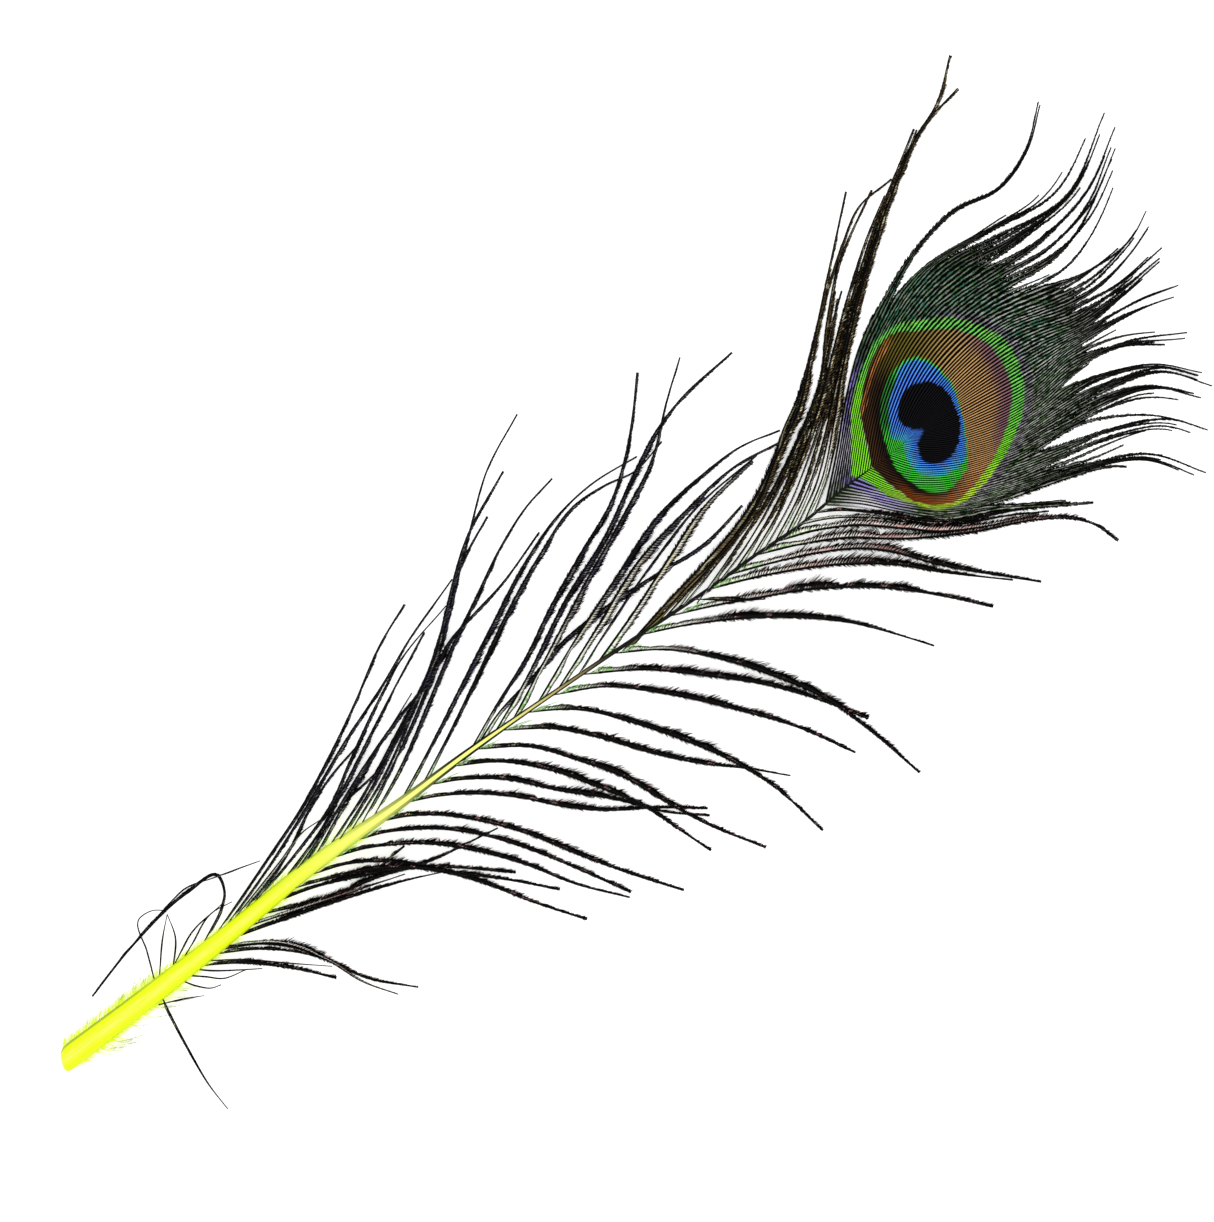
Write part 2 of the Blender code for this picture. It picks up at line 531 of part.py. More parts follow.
def build_eye_vane(material):
    """Fan of locks round the shaft's end: one sheet near the shaft, then separate tips."""
    rings = EYE_CLOSED_RINGS + EYE_FREE_RINGS
    lines = []
    for route in EYE_ROUTES:
        curve = clear_of_shaft(smooth_curve([place(p) for p in route]), EYE_ROOT_GAP)
        closed = even_points(curve, EYE_CLOSED_RINGS, 0.0, EYE_CLOSED_SHARE)
        free = even_points(curve, EYE_FREE_RINGS, EYE_CLOSED_SHARE, 1.0)
        lines.append(closed + free[1:])
    last = len(lines) - 1

    def edge_points(i, k, toward):
        """Plan point of lock i's edge at ring k, on the side of its neighbour i + toward."""
        side = side_directions(lines[i])[k]
        j = i + toward
        if 0 <= j <= last:
            middle = tuple((lines[i][k][c] + lines[j][k][c]) / 2 for c in (0, 1))
            if k <= EYE_CLOSED_RINGS:
                return middle
            reach = math.dist(middle, lines[i][k])
        else:
            reach = EYE_SIDE_WIDTH / 2
        free = max(0.0, (k - EYE_CLOSED_RINGS) / EYE_FREE_RINGS)
        if k > EYE_CLOSED_RINGS:
            reach = min(reach, EYE_SIDE_WIDTH / 2) * (1.0 - free) + EYE_TIP_WIDTH / 2 * free
            if 0 <= j <= last:
                reach = min(reach, math.dist(middle, lines[i][k]) - GAP / 4)
        return (lines[i][k][0] + toward * side[0] * reach, lines[i][k][1] + toward * side[1] * reach)

    mesh_data = bmesh.new()
    corners = {}

    def column(key, point, ridge=0.0):
        """Bottom and top vertex at a plan point, made once."""
        if key not in corners:
            bottom = surface_height(point, EYE_THICKNESS / 2)
            top = bottom + EYE_THICKNESS + ridge
            corners[key] = (add_vertex(mesh_data, *point, bottom),
                            add_vertex(mesh_data, *point, top))
        return corners[key]

    def edge_key(i, k, toward):
        if k <= EYE_CLOSED_RINGS:
            return ("shared", i if toward > 0 else i - 1, k)
        return ("free", i, k, toward)

    def row(i, k):
        right = column(edge_key(i, k, -1), edge_points(i, k, -1))
        middle = column(("middle", i, k), lines[i][k], EYE_RIDGE)
        left = column(edge_key(i, k, 1), edge_points(i, k, 1))
        return right, middle, left

    for i in range(last + 1):
        for k in range(rings):
            near, far = row(i, k), row(i, k + 1)
            for a, b in ((0, 1), (1, 2)):
                mesh_data.faces.new((near[a][1], near[b][1], far[b][1], far[a][1]))
                mesh_data.faces.new((near[a][0], far[a][0], far[b][0], near[b][0]))
            open_right = k >= EYE_CLOSED_RINGS or i == 0
            open_left = k >= EYE_CLOSED_RINGS or i == last
            if open_right:
                mesh_data.faces.new((near[0][0], near[0][1], far[0][1], far[0][0]))
            if open_left:
                mesh_data.faces.new((near[2][1], near[2][0], far[2][0], far[2][1]))
        for k in (0, rings):
            ends = row(i, k)
            for a, b in ((0, 1), (1, 2)):
                mesh_data.faces.new((ends[a][0], ends[b][0], ends[b][1], ends[a][1]))
    return finish_object("eye_vane", mesh_data, material)


def build_down(name, side, end, reach, material):
    """Strip of forward-leaning tufts along one side of the quill; side is +1 left, -1 right."""
    tufts = round((end - DOWN_START) / DOWN_TUFT_SPACING)
    step = (end - DOWN_START) / tufts

    def beside_quill(along, out):
        i = min(range(len(SHAFT_CURVE)),
                key=lambda n: abs(SHAFT_CURVE[n][0] - SHAFT_CURVE[0][0] - along))
        return (SHAFT_CURVE[i][0],
                SHAFT_CURVE[i][1] + side * (shaft_radius(along) + GAP + out))

    mesh_data = bmesh.new()

    def column(along, out):
        point = beside_quill(along, out)
        bottom = DOWN_ROOT_HEIGHT * (1.0 - out / reach)
        return (add_vertex(mesh_data, *point, bottom),
                add_vertex(mesh_data, *point, bottom + DOWN_THICKNESS))

    inner = [column(DOWN_START + step * k, 0.0) for k in range(tufts + 1)]
    outer = [column(DOWN_START + step * k, DOWN_BASE) for k in range(tufts + 1)]
    tips = [column(DOWN_START + step * (k + 0.5) + DOWN_LEAN,
                   reach * (1.0 - DOWN_SHORTER * (k % 2)))
            for k in range(tufts)]
    for k in range(tufts):
        for level in (0, 1):
            mesh_data.faces.new((inner[k][level], inner[k + 1][level],
                                 outer[k + 1][level], outer[k][level]))
            mesh_data.faces.new((outer[k][level], outer[k + 1][level], tips[k][level]))
        walls = ((inner[k], inner[k + 1]), (outer[k], tips[k]), (tips[k], outer[k + 1]))
        for a, b in walls:
            mesh_data.faces.new((a[0], b[0], b[1], a[1]))
    for a, b in ((inner[0], outer[0]), (inner[-1], outer[-1])):
        mesh_data.faces.new((a[0], b[0], b[1], a[1]))
    return finish_object(name, mesh_data, material)


def main():
    for obj in list(bpy.data.objects):
        bpy.data.objects.remove(obj, do_unlink=True)
    materials = {name: make_material(name) for name in COLOURS}
    build_shaft(materials["shaft"])
    build_eye_vane(materials["eye"])
    barbs = []
    groups = (("right_barb", RIGHT_ROUTES, BARB_WIDTH), ("left_barb", LEFT_ROUTES, BARB_WIDTH),
              ("crest_barb", CREST_ROUTES, BARB_WIDTH), ("stray_barb", STRAY_ROUTES, STRAY_WIDTH))
    for group, routes, width in groups:
        for number, route in enumerate(routes, start=1):
            brown = group == "crest_barb" and number == 1
            barbs.append(Barb(f"{group}_{number:02d}", route,
                              BROWN_STRAND_WIDTH if brown else width,
                              materials["brown" if brown else "barb"]))
    stack_barbs(barbs)
    for barb in barbs:
        barb.solid()
    build_down("left_down", 1, LEFT_DOWN_END, LEFT_DOWN_REACH, materials["down"])
    build_down("right_down", -1, RIGHT_DOWN_END, RIGHT_DOWN_REACH, materials["down"])


if __name__ == "__main__":
    main()
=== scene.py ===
"""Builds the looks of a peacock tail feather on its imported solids: quill, down, loose barbs and eye.

The frame is the part's own: +X from the quill's cut end to the tip, +Y to the feather's left, +Z up.
Routes and outlines are laid out on a flat drawing sheet in millimetres, u to the right and v up, as
the feather is seen from above.  place() turns sheet points into the feather's frame.  The mesh code
works in millimetres, and Fibres.build() writes metres.
"""
import math
from typing import NamedTuple

import bpy
import numpy as np
from bpy.props import FloatProperty, FloatVectorProperty, IntProperty, PointerProperty
from mathutils.bvhtree import BVHTree
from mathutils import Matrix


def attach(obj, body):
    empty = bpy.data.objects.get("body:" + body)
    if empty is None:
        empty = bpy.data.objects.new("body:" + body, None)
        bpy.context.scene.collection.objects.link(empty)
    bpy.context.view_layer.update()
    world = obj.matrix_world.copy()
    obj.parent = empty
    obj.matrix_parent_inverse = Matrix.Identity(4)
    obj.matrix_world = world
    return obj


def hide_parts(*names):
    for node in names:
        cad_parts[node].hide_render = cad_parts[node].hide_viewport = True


bl_info = {
    "name": "Peacock Feather",
    "version": (1, 0, 0),
    "blender": (4, 5, 0),
    "location": "3D View > Sidebar > Feather",
    "description": "Builds the quill, down, barbs and eye of a peacock tail feather",
    "category": "Object",
}

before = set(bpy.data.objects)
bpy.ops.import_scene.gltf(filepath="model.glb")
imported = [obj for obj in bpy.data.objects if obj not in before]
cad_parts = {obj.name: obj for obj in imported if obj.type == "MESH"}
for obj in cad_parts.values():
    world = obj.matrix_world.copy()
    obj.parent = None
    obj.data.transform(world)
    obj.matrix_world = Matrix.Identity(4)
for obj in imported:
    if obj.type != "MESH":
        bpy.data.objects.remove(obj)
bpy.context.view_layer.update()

MM = 0.001
BODY = "root"

# The photograph: its height in pixels, its scale and the sheet point at its middle
PHOTO_HEIGHT = 1222
SHEET_PER_PIXEL = 0.2
PHOTO_MIDDLE = (109.4, 91.8)

# The stage, in metres
FLOOR_REACH = 3.0           # half the width of the floor
LAMP_SIZE = 1.2
LAMP_HEIGHT = 1.1
SCALE_HEIGHT = 0.003        # height over the floor at which the photograph's scale holds
SENSOR_WIDTH = 36.0         # of the camera, in millimetres like its lens

# The feather's layout, as in its solids
LEAN = 36.6                 # slope of the shaft on the drawing sheet, in degrees
FEATHER_MIDDLE = (141.9, 1.0)   # middle of the whole feather, along and across the shaft
QUILL_REST = 48.0           # length of quill that lies on the surface
ARCH_HEIGHT = 6.5           # lift of the shaft at the top of its bow
ARCH_TOP = 125.0            # where the bow is highest, from the cut end
SHAFT_END_LIFT = 0.75       # underside of the shaft's thin end above the surface
SHAFT_RADII = [(0, 2.5), (24, 2.2), (42, 1.85), (65, 1.6), (85, 1.1), (94, 0.86), (103, 0.62),
               (110, 0.48), (120, 0.38), (150, 0.33), (214, 0.27)]
SHAFT_FLAT_SIDE = math.cos(math.pi / 12)    # the solid shaft has twelve sides
FALL_REACH = 34.0           # distance from the shaft at which a barb meets the surface
CURL_START = 48.0           # beyond this distance the tips lift again
CURL_REACH = 35.0
CURL_HEIGHT = 3.0
BARB_THICKNESS = 0.45       # of a loose barb's solid

# Steps in which curves and distances are worked out
CURVE_STEP = 0.5
OUTLINE_STEP = 1.5
BLOCK = 4000                # points measured at one time, to save memory
PROBE_HEIGHT = 100.0        # height from which the solids are probed
HEIGHT_BLUR = 9             # cross-sections over which a barb's height is smoothed
NEARLY_NOTHING = 1e-6       # least length to divide by

# The flat map that the fibres' colours are baked on
MAP_NAME = "OFBake"
MAP_MARGIN = 0.01
MAP_WIDTH = 0.98

# The round shaft
SHAFT_SIDES = 32
SHAFT_CUT_RINGS = [-0.8, -0.65, -0.35, 0.1, 0.7, 1.3]   # places of the rings at the cut end
SHAFT_EVEN_RINGS = 2.0      # where the evenly spaced rings begin
SHAFT_RING_SPACING = 1.2
CUT_SLANT = 0.42            # slant of the cut across the quill's end
CUT_SLANT_FADE = [1.6, 5.0]     # places between which the slant dies out
# Radius of the round shaft, as a share of its solid's, by distance from the cut end
SHAFT_TRIM = [(-0.8, 0.36), (-0.65, 0.58), (-0.35, 0.77), (0.1, 0.9), (0.7, 0.97), (1.6, 1.0),
              (90, 1.0), (106, 1.28), (150, 1.2), (184, 1.12), (198, 1.0), (203, 0.5)]

SHAFT_ROUTE = [(1, 2), (13.2, 11.2), (31, 25), (51.4, 41.6), (67.6, 53), (82, 63.8), (96.6, 74),
               (105.4, 80), (116.8, 87.6), (130, 96.4), (139.4, 103.2), (148, 109),
               (157.4, 116.8), (166.4, 123.4), (172, 128.2)]

# Loose barbs on the left of the shaft: left_barb_01 and on, then thin ones between them
LEFT_ROUTES = [
    [(32.4, 28.8), (41.6, 42.4), (48, 52), (54, 63), (58.6, 72.6), (64, 85.2), (68.8, 93.2)],
    [(34.6, 30.6), (41.6, 40.4), (48, 50.4), (57, 65.6), (65, 77.8), (69.4, 85.4), (78.4, 98.2)],
    [(38, 33.2), (45, 42.4), (49.6, 51.6), (54, 58.6), (59, 64.4)],
    [(40.4, 35.2), (48, 44.4), (54.4, 53.4), (58, 61.6), (63, 72.4), (68.2, 82), (77.2, 92.8)],
    [(45.6, 39), (52.4, 48.4), (57, 57), (63.4, 69.6), (69.6, 81.6), (72.8, 87.6)],
    [(48, 40.8), (54, 49.6), (59.4, 58.4), (68, 70.8), (73, 77), (76, 84.4), (78.4, 94),
     (82, 108), (85.4, 120), (91.4, 131.2)],
    [(51.6, 43.6), (57, 53.4), (64, 65), (70.4, 75.4)],
    [(54.8, 46), (60.4, 54.6), (67.4, 67.4), (73.6, 79.6), (76.4, 88.4), (80.4, 101.6),
     (85.4, 110.8)],
    [(57, 47.6), (62.6, 56.8), (69.4, 70.4), (75.2, 83), (77.2, 91.6), (81.4, 106.6),
     (88.6, 119.8)],
    [(61.4, 51), (66.4, 60.4), (71, 70.4), (74.8, 79.6), (77.6, 85.2), (83, 91.4), (88, 96.8),
     (95.8, 107.6)],
    [(63.8, 52.4), (68.4, 61), (74, 74), (78.6, 85), (83, 94), (88, 104.4), (93, 112.4),
     (98.4, 118.4)],
    [(68.8, 54.8), (73.6, 63.6), (80.4, 77), (86, 88), (93, 101.4), (100, 111.4), (106, 117),
     (115.4, 122.8)],
    [(73, 57.8), (78, 67.4), (83.6, 79), (89, 90.4), (96, 103), (103, 113), (109, 117),
     (115, 119.8), (120.4, 125.8)],
    [(82, 63.6), (87.4, 73), (93, 82), (98.4, 93), (104.4, 103.6), (110.4, 114), (113, 122.4),
     (114.4, 130), (115.4, 139.6)],
    [(83.6, 65), (88, 71.6), (94, 78), (101, 86), (109, 92.4), (120, 99.6), (129, 105.4),
     (136.4, 113)],
    [(87.2, 67.7), (92.8, 77.2), (101.4, 94.4), (109, 106.6), (115.4, 120.4), (119.4, 128),
     (124, 134), (134.4, 143.6)],
    [(91, 70.6), (97.6, 83), (104.4, 96), (112.6, 110.6), (118.4, 122), (121.4, 134),
     (124, 142.6)],
    [(96, 74), (103.4, 86.4), (111, 98), (120.4, 111.6), (128, 118.6), (136, 124.6), (144, 128)],
    [(100, 76.6), (107.6, 88.6), (116, 102), (124, 110.6), (136, 121.4), (143.6, 125.4)],
    [(108, 82), (115.4, 92.4), (121.6, 102), (128, 111.6), (138.4, 122)],
]
LEFT_THIN_ROUTES = [
    [(36.2, 31.8), (44, 41.6), (48.6, 47.6), (52.4, 50.2)],
    [(49.6, 42), (56, 52.4), (65.2, 62), (69, 71)],
    [(59.4, 49.6), (64.4, 58), (70.8, 72), (76, 84.4), (78.4, 94)],
    [(104, 79.4), (111.6, 91.4), (119, 102), (127.4, 112.6), (139.4, 123)],
]

# The tall barbs beside the eye: crest_barb_02 and on, then thin ones between them
CREST_ROUTES = [
    [(120.8, 90.2), (129, 99.4), (135.4, 106.6), (140, 114), (143.4, 122.6), (147.8, 132),
     (150.4, 143.6), (153.2, 157), (157.2, 175.8)],
    [(128.4, 94.6), (133.6, 102), (141.6, 114.4), (147.4, 125.8), (151.7, 136.4),
     (153.9, 151), (157, 166.4), (159.6, 172.4), (166.4, 178.4)],
    [(134.8, 99.6), (140.4, 108), (145.2, 117), (149.2, 127.6), (152.6, 138.4), (155.6, 154.4)],
    [(138.4, 102.4), (143.4, 111), (148, 121.4), (151.8, 132.4), (154.8, 144), (158, 156),
     (161.6, 167), (165, 175)],
    [(143.2, 105.8), (148.2, 115.6), (151.8, 126.4), (154.8, 137.6), (157.6, 149.6),
     (161.2, 161.6), (165, 172.8), (170.8, 186), (175.4, 193.4), (178, 203)],
    [(145.4, 107.2), (149.8, 116.6), (153.2, 127.6), (155.6, 138.4), (158.4, 150.4),
     (162, 162.4), (167.8, 178.4), (172.2, 188), (179.6, 196.4)],
    [(149.2, 110.2), (152.6, 118.6), (154.8, 129), (156.8, 141), (159.6, 153), (164, 167.6)],
]
CREST_THIN_ROUTES = [
    [(124.6, 92.8), (131.6, 101.4), (138.2, 110.2), (142, 118.6), (146.4, 130), (149.8, 140),
     (153, 154), (157, 166.4), (159.6, 172.4), (166.4, 178.4)],
    [(128.4, 94.6), (133.6, 102), (141.6, 114.4), (147.8, 125.8), (152, 136.4),
     (153.4, 149), (156.2, 162.4), (160.6, 172.4), (162.4, 176.2)],
    [(131.6, 97.2), (137.6, 105.4), (144.6, 118.4), (148.2, 127), (151.8, 137), (154.4, 149),
     (156.4, 156)],
    [(141, 104.2), (146.4, 114), (150.4, 124.4), (153.8, 135.6), (156.6, 147.6), (160, 159.6),
     (163.8, 171), (167.6, 180.4), (170.8, 188.4)],
    [(147.4, 108.6), (151.4, 117.6), (154, 128), (156.2, 139.6), (159, 151.6), (162.6, 163.6),
     (166.2, 174), (171.4, 188.2)],
    [(151, 111.6), (153.8, 119.4), (155.6, 130), (157.2, 141), (161.2, 156)],
]

# The thick brown strand, crest_barb_01, and the long herl that it splits into
BROWN_ROUTES = [
    [(113.4, 84.6), (121, 93), (130, 102.6), (136, 109.8), (140.4, 117), (143.8, 125),
     (147.6, 134.6), (151.8, 150)],
]
BROWN_THIN_ROUTES = [
    [(116.4, 87.4), (121, 91.6), (125, 96), (132.4, 103.6), (138, 111), (142, 119),
     (144.6, 127.6), (149.2, 138), (151.6, 148), (152.8, 153)],
]

# Loose barbs on the right of the shaft: right_barb_01 and on, then thin ones between them
RIGHT_ROUTES = [
    [(29.2, 21), (35, 21.4), (48, 20), (55.2, 18.2)],
    [(32.4, 24.2), (40.4, 25.2), (48, 24.2), (54, 21.6), (61.6, 18.2), (71.6, 16.4)],
    [(35.6, 26.8), (44, 29.8), (58, 34.6), (72, 38.6), (77.6, 39.8)],
    [(40.4, 31.2), (53, 34.2), (63.6, 38.6), (74, 41.8), (84, 46.6), (87.6, 48.4)],
    [(44.4, 34.2), (51.6, 36.8), (59, 38.6), (68, 40.2), (76, 40.6), (91.2, 39.4)],
    [(48, 36.8), (54, 38.4), (61, 40), (69, 40.6), (78, 39.6), (90, 38), (100, 36)],
    [(51.6, 39.6), (57, 41.2), (65, 41.8), (72, 40.6), (79, 39.2), (86, 37), (94, 33.8),
     (105.4, 30)],
    [(56, 43), (61, 44.4), (67, 45.2), (73, 45.4), (83, 44), (93, 41.2), (103, 37.2),
     (114, 34.4)],
    [(60.4, 46.4), (65, 47.6), (70, 48.2), (75, 48.4), (85, 47), (95, 43.8), (104, 40),
     (114.2, 35.4)],
    [(64.8, 50), (69, 50.8), (74, 51.2), (84, 50), (94, 47.2), (103, 43.4), (113, 39.6),
     (124.8, 35.8)],
    [(70, 53.8), (75, 54.8), (83, 55.4), (91, 54.8), (102, 52.6), (108, 52), (120, 52.4),
     (129.6, 52.2)],
    [(75, 57.4), (80, 58.2), (88, 58.4), (100, 56), (111, 54.2), (121, 51.6), (130, 50.8)],
    [(79.2, 61), (88, 61.8), (98, 60.2), (108, 56.6), (116, 53.2), (124, 48), (130.2, 43.8)],
    [(84, 64.4), (94, 64.8), (104, 62), (113, 58.6), (121, 53.8), (129, 49.4), (141.2, 44.4)],
    [(89.6, 68.2), (99, 68.4), (108, 66.6), (118, 63.6), (128, 61.4), (138, 60.2),
     (146.2, 58.8)],
    [(94.6, 71.8), (99, 72.2), (104, 72.2), (114, 69.8), (124, 66.4), (133, 62.6), (143, 56.6),
     (152.6, 47.8)],
    [(100, 75.4), (109, 76.8), (120, 75.6), (136, 72), (147, 68.8), (159.2, 63.4)],
    [(106, 79.4), (117, 80.2), (129, 79), (141, 77.2), (151, 74.4), (161.8, 70.2)],
    [(112, 83.6), (121, 84.2), (131, 82.6), (142, 79.2), (152, 75), (162, 68), (172, 59.4)],
    [(117.2, 87.4), (126, 89.2), (136, 90.4), (148, 90.6), (158, 89.6), (168, 87), (175, 84.8)],
    [(124, 91.4), (132, 93.2), (140, 94.6), (148, 96), (156, 96.6), (164, 96.6), (178, 94.6),
     (186.8, 92.6)],
    [(130.4, 96.4), (135, 97.6), (145, 99.8), (156, 101.2), (167, 101.2), (177, 99.6),
     (190.8, 98)],
    [(134.6, 99.4), (146, 102.4), (152, 103.6), (160, 104.4), (165, 104), (175.8, 101.2),
     (196.4, 97.6)],
    [(140.4, 103.4), (148, 105.2), (156, 106.4), (170, 106.4), (182, 107.6), (196, 110.2),
     (202, 110.4), (207, 109.2), (211.8, 105.8)],
    [(144.6, 106.2), (152, 108.2), (158, 109), (169, 108.4), (176, 107.8), (182.4, 108.4),
     (196, 111.2)],
]
RIGHT_THIN_ROUTES = [
    [(34, 25), (45, 25.2), (54, 21.6), (60.4, 17.6), (67.6, 15)],
    [(32, 23.4), (40, 24.2), (49, 23.2), (53, 22)],
    [(37.6, 28.8), (51, 33.2), (69, 39.2)],
    [(65.6, 42.2), (69, 44.8)],
    [(128.4, 94.2), (137, 94), (141, 94.2)],
    [(148, 109.2), (154, 110.4), (162, 110.6), (176, 109), (182.4, 109.6), (189, 110.8),
     (198, 111.8)],
    [(151.4, 111.6), (156, 112), (162, 111.6), (176, 109.8), (182.4, 110.2), (189, 111.6),
     (198.8, 113)],
]

# Wild strands at the quill: stray_barb_01 and 02, then bare hairs
STRAY_ROUTES = [
    [(20.4, 14.2), (25.4, 4.4), (30, -3.6), (33.4, -8)],
    [(29.4, 26.6), (32.2, 32.4), (32.8, 35.4), (31.4, 38.8), (25.4, 35.4), (14.8, 25.2),
     (6.4, 14.6)],
]
STRAY_HAIR_ROUTES = [
    [(18.8, 18.4), (17.4, 23.6), (15.8, 30.2), (18.4, 31.8), (21.2, 31.8)],
    [(22.2, 33.6), (24.4, 35.8), (31.4, 38.6)],
    [(31.4, 38.6), (36.2, 40.4), (40, 41.8)],
    [(26, 24.4), (30.4, 31.4), (34.4, 33.6)],
    [(23.6, 22.4), (26, 27), (32.4, 33.2)],
    [(30.4, 21.8), (37, 22), (44, 21.4), (54.4, 20.6)],
    [(27.2, 20), (31, 19.8), (40.4, 20.2)],
    [(25.2, 18.8), (29, 18.6), (32.4, 18.2), (37.2, 20)],
    [(21.6, 13.4), (24, 14), (28.8, 14.8)],
    [(24.2, 17.8), (27.8, 16.6), (30.2, 16.3), (32.2, 17)],
    [(20, 19.8), (20.4, 25.7), (21.4, 31.1)],
    [(22.7, 20.8), (23, 26.7), (21.4, 31.1)],
]

# Locks of the eye fan, counter to the clock from its lower right rim round the shaft's end
EYE_ROUTES = [
    [(153.4, 113.4), (160, 113), (167.2, 111.6), (174.8, 110.4), (188.8, 112.4),
     (206.8, 114.4)],
    [(154.8, 114.6), (161.2, 114), (168.2, 112.4), (175.6, 111.4), (189.6, 113.8), (206, 116.6)],
    [(156.2, 115.8), (162.4, 114.8), (169.4, 113.2), (176.8, 112.4), (191.4, 115.4), (205, 120),
     (216, 121.6), (224.4, 118.4)],
    [(157.8, 117), (164, 115.4), (171, 113.8), (178.4, 113.6), (192.4, 117), (206, 121.2),
     (218, 122.8), (229.2, 118.8)],
    [(159.6, 118.4), (165.6, 116), (172.8, 114.8), (187, 117), (199.6, 121.6), (211.6, 126),
     (217, 127.2), (224.8, 125.8)],
    [(161.2, 119.6), (167.2, 117), (174.2, 116.4), (187.8, 119.2), (199.6, 123.6), (210.8, 128),
     (222.4, 129.8), (229.6, 127.6)],
    [(162.8, 120.8), (168.8, 118.6), (175.6, 118.2), (188.6, 121.4), (199.8, 126), (210, 129.8),
     (221, 132.2)],
    [(164.4, 122), (170.4, 120), (177, 120), (189.6, 123.6), (199.6, 128.6), (209.6, 133.4),
     (215.2, 134.6), (226.4, 133.2)],
    [(166, 123.2), (171.8, 121.6), (178.2, 122), (190.2, 125.4), (199.4, 130.8), (209, 136.6),
     (221, 140.2), (230.8, 137.4)],
    [(167.4, 124.2), (173.2, 123), (179.4, 123.8), (190.6, 127.2), (199.2, 132.8),
     (207.8, 138.2), (220, 142), (229.2, 141.4)],
    [(168.8, 125.4), (174.4, 124.8), (185.8, 127.2), (195, 131.8), (202.6, 137.6),
     (212.4, 141.8), (222.2, 144.6)],
    [(170, 126.4), (175.2, 126.4), (186, 129.2), (195, 134), (202, 139.8), (211.2, 144.6),
     (225.8, 146.6)],
    [(171, 127.2), (176, 127.8), (186, 131.4), (195, 136.2), (202.2, 142.4), (211.2, 146.6),
     (224.8, 148.6)],
    [(171.8, 128), (176.4, 129.2), (186, 133.8), (194.8, 138.6), (202.6, 144.8), (211.2, 149.6),
     (223.2, 153.6)],
    [(172.2, 128.4), (180.4, 133.2), (189.6, 138.6), (198.4, 144), (207.2, 149), (217, 154.4),
     (224, 156.6)],
    [(171.6, 127.8), (178.4, 133.6), (187.2, 140), (196.4, 145.4), (206.4, 150), (216, 155.8),
     (222.6, 160.4)],
    [(170.4, 126.8), (176, 133.4), (184, 140.8), (193.4, 147), (204, 151), (214, 156.4),
     (222.6, 162)],
    [(169.2, 125.8), (173.8, 133.2), (181.2, 141.4), (190.2, 148.4), (200.6, 152.4),
     (211, 156.8), (220.4, 164.8)],
    [(167.8, 124.6), (171.6, 132.8), (178.4, 141.8), (187.4, 149.4), (197.4, 153.8),
     (208.6, 158.4), (219.6, 167.6)],
    [(166.4, 123.4), (169.6, 132.4), (175.6, 142.2), (184.4, 150.4), (194.4, 155.6),
     (205.6, 160), (214.4, 167.4), (216.8, 172.2)],
    [(165, 122.4), (167.8, 132), (173, 142.2), (181.2, 151), (191, 157.4), (202, 161.6),
     (212.2, 172.4)],
    [(163.4, 121.2), (165.8, 131.4), (170.4, 142), (178.4, 151.6), (188.6, 158.8),
     (199.6, 164.2), (208, 170.4), (214, 180.4)],
    [(161.8, 120.2), (163.8, 130.4), (167.8, 141.4), (175.2, 151.8), (185.6, 159.2),
     (197.4, 166.2), (206.4, 176.4), (211.4, 189)],
    [(160.2, 119), (162, 129.6), (165.4, 140.4), (172, 151.4), (181.6, 160), (193.6, 166.4),
     (203.2, 175.4), (210, 188.8)],
    [(158.6, 117.8), (160.4, 128.6), (163.4, 139.6), (169, 150.8), (178, 160.4), (190, 167.2),
     (201.2, 174.8), (208.8, 191.6)],
    [(157.2, 116.6), (159, 128), (161.6, 139), (166.6, 150), (174.4, 160.4), (186, 167.8),
     (199, 175), (207.4, 188.4)],
    [(155.6, 115.4), (157.6, 127), (160.2, 138.4), (164.4, 149), (171, 159.6), (181, 168.8),
     (195, 173.4), (202.2, 180.2)],
    [(153.6, 113.6), (155.6, 123), (157.6, 134.4), (160.4, 144.8), (164.8, 154), (170.8, 163.6),
     (179, 172.2), (188, 176.8), (193.2, 184.4), (195.6, 193.8)],
]

# Outlines of the eye's colour zones on the sheet, from the outside in
RING_OUTSIDE = [
    (158.4, 119), (158.4, 128), (159, 135), (160.8, 141), (163.2, 145.4), (166.6, 148.6),
    (173.4, 150.2), (179, 150.4), (184, 149), (187.6, 147.2), (190.6, 144), (192.8, 137.2),
    (192.4, 131), (190.9, 126.9), (189.2, 123.5), (187.3, 120.4), (185.3, 117.8),
    (183, 115.4), (180.5, 113.5), (177.4, 112.4), (174.4, 112.3), (170.6, 113.3),
    (166.4, 114.6), (163.6, 116.4), (160.2, 118.4),
]
RING_INSIDE = [
    (160, 132), (161, 138), (163.2, 144), (165, 146.4), (168, 147.8), (172, 148), (180, 148),
    (185, 146), (188.2, 142.4), (190, 139), (190.6, 135.4), (190.2, 131), (189, 127),
    (187.4, 123.3), (185.5, 120.2), (183.5, 117.6), (181.2, 115.2), (178.4, 113.5),
    (175, 112.8), (171, 113.8), (167.4, 116.2), (164, 119), (162.4, 120.8), (161.6, 124),
    (160.8, 128),
]
IRIS = [
    (171.6, 142.8), (175, 141.2), (177.2, 138.8), (179.6, 134.2), (180.4, 130.4), (181.2, 127),
    (181.6, 123.6), (181.4, 120.2), (179.6, 117.6), (177.2, 115.8), (173.8, 115.8),
    (170.4, 117.4), (167.6, 119.8), (166, 123.2), (164.6, 127.6), (164, 131.2), (164.2, 134),
    (165.2, 137.8), (167.6, 141), (169.6, 142.2),
]
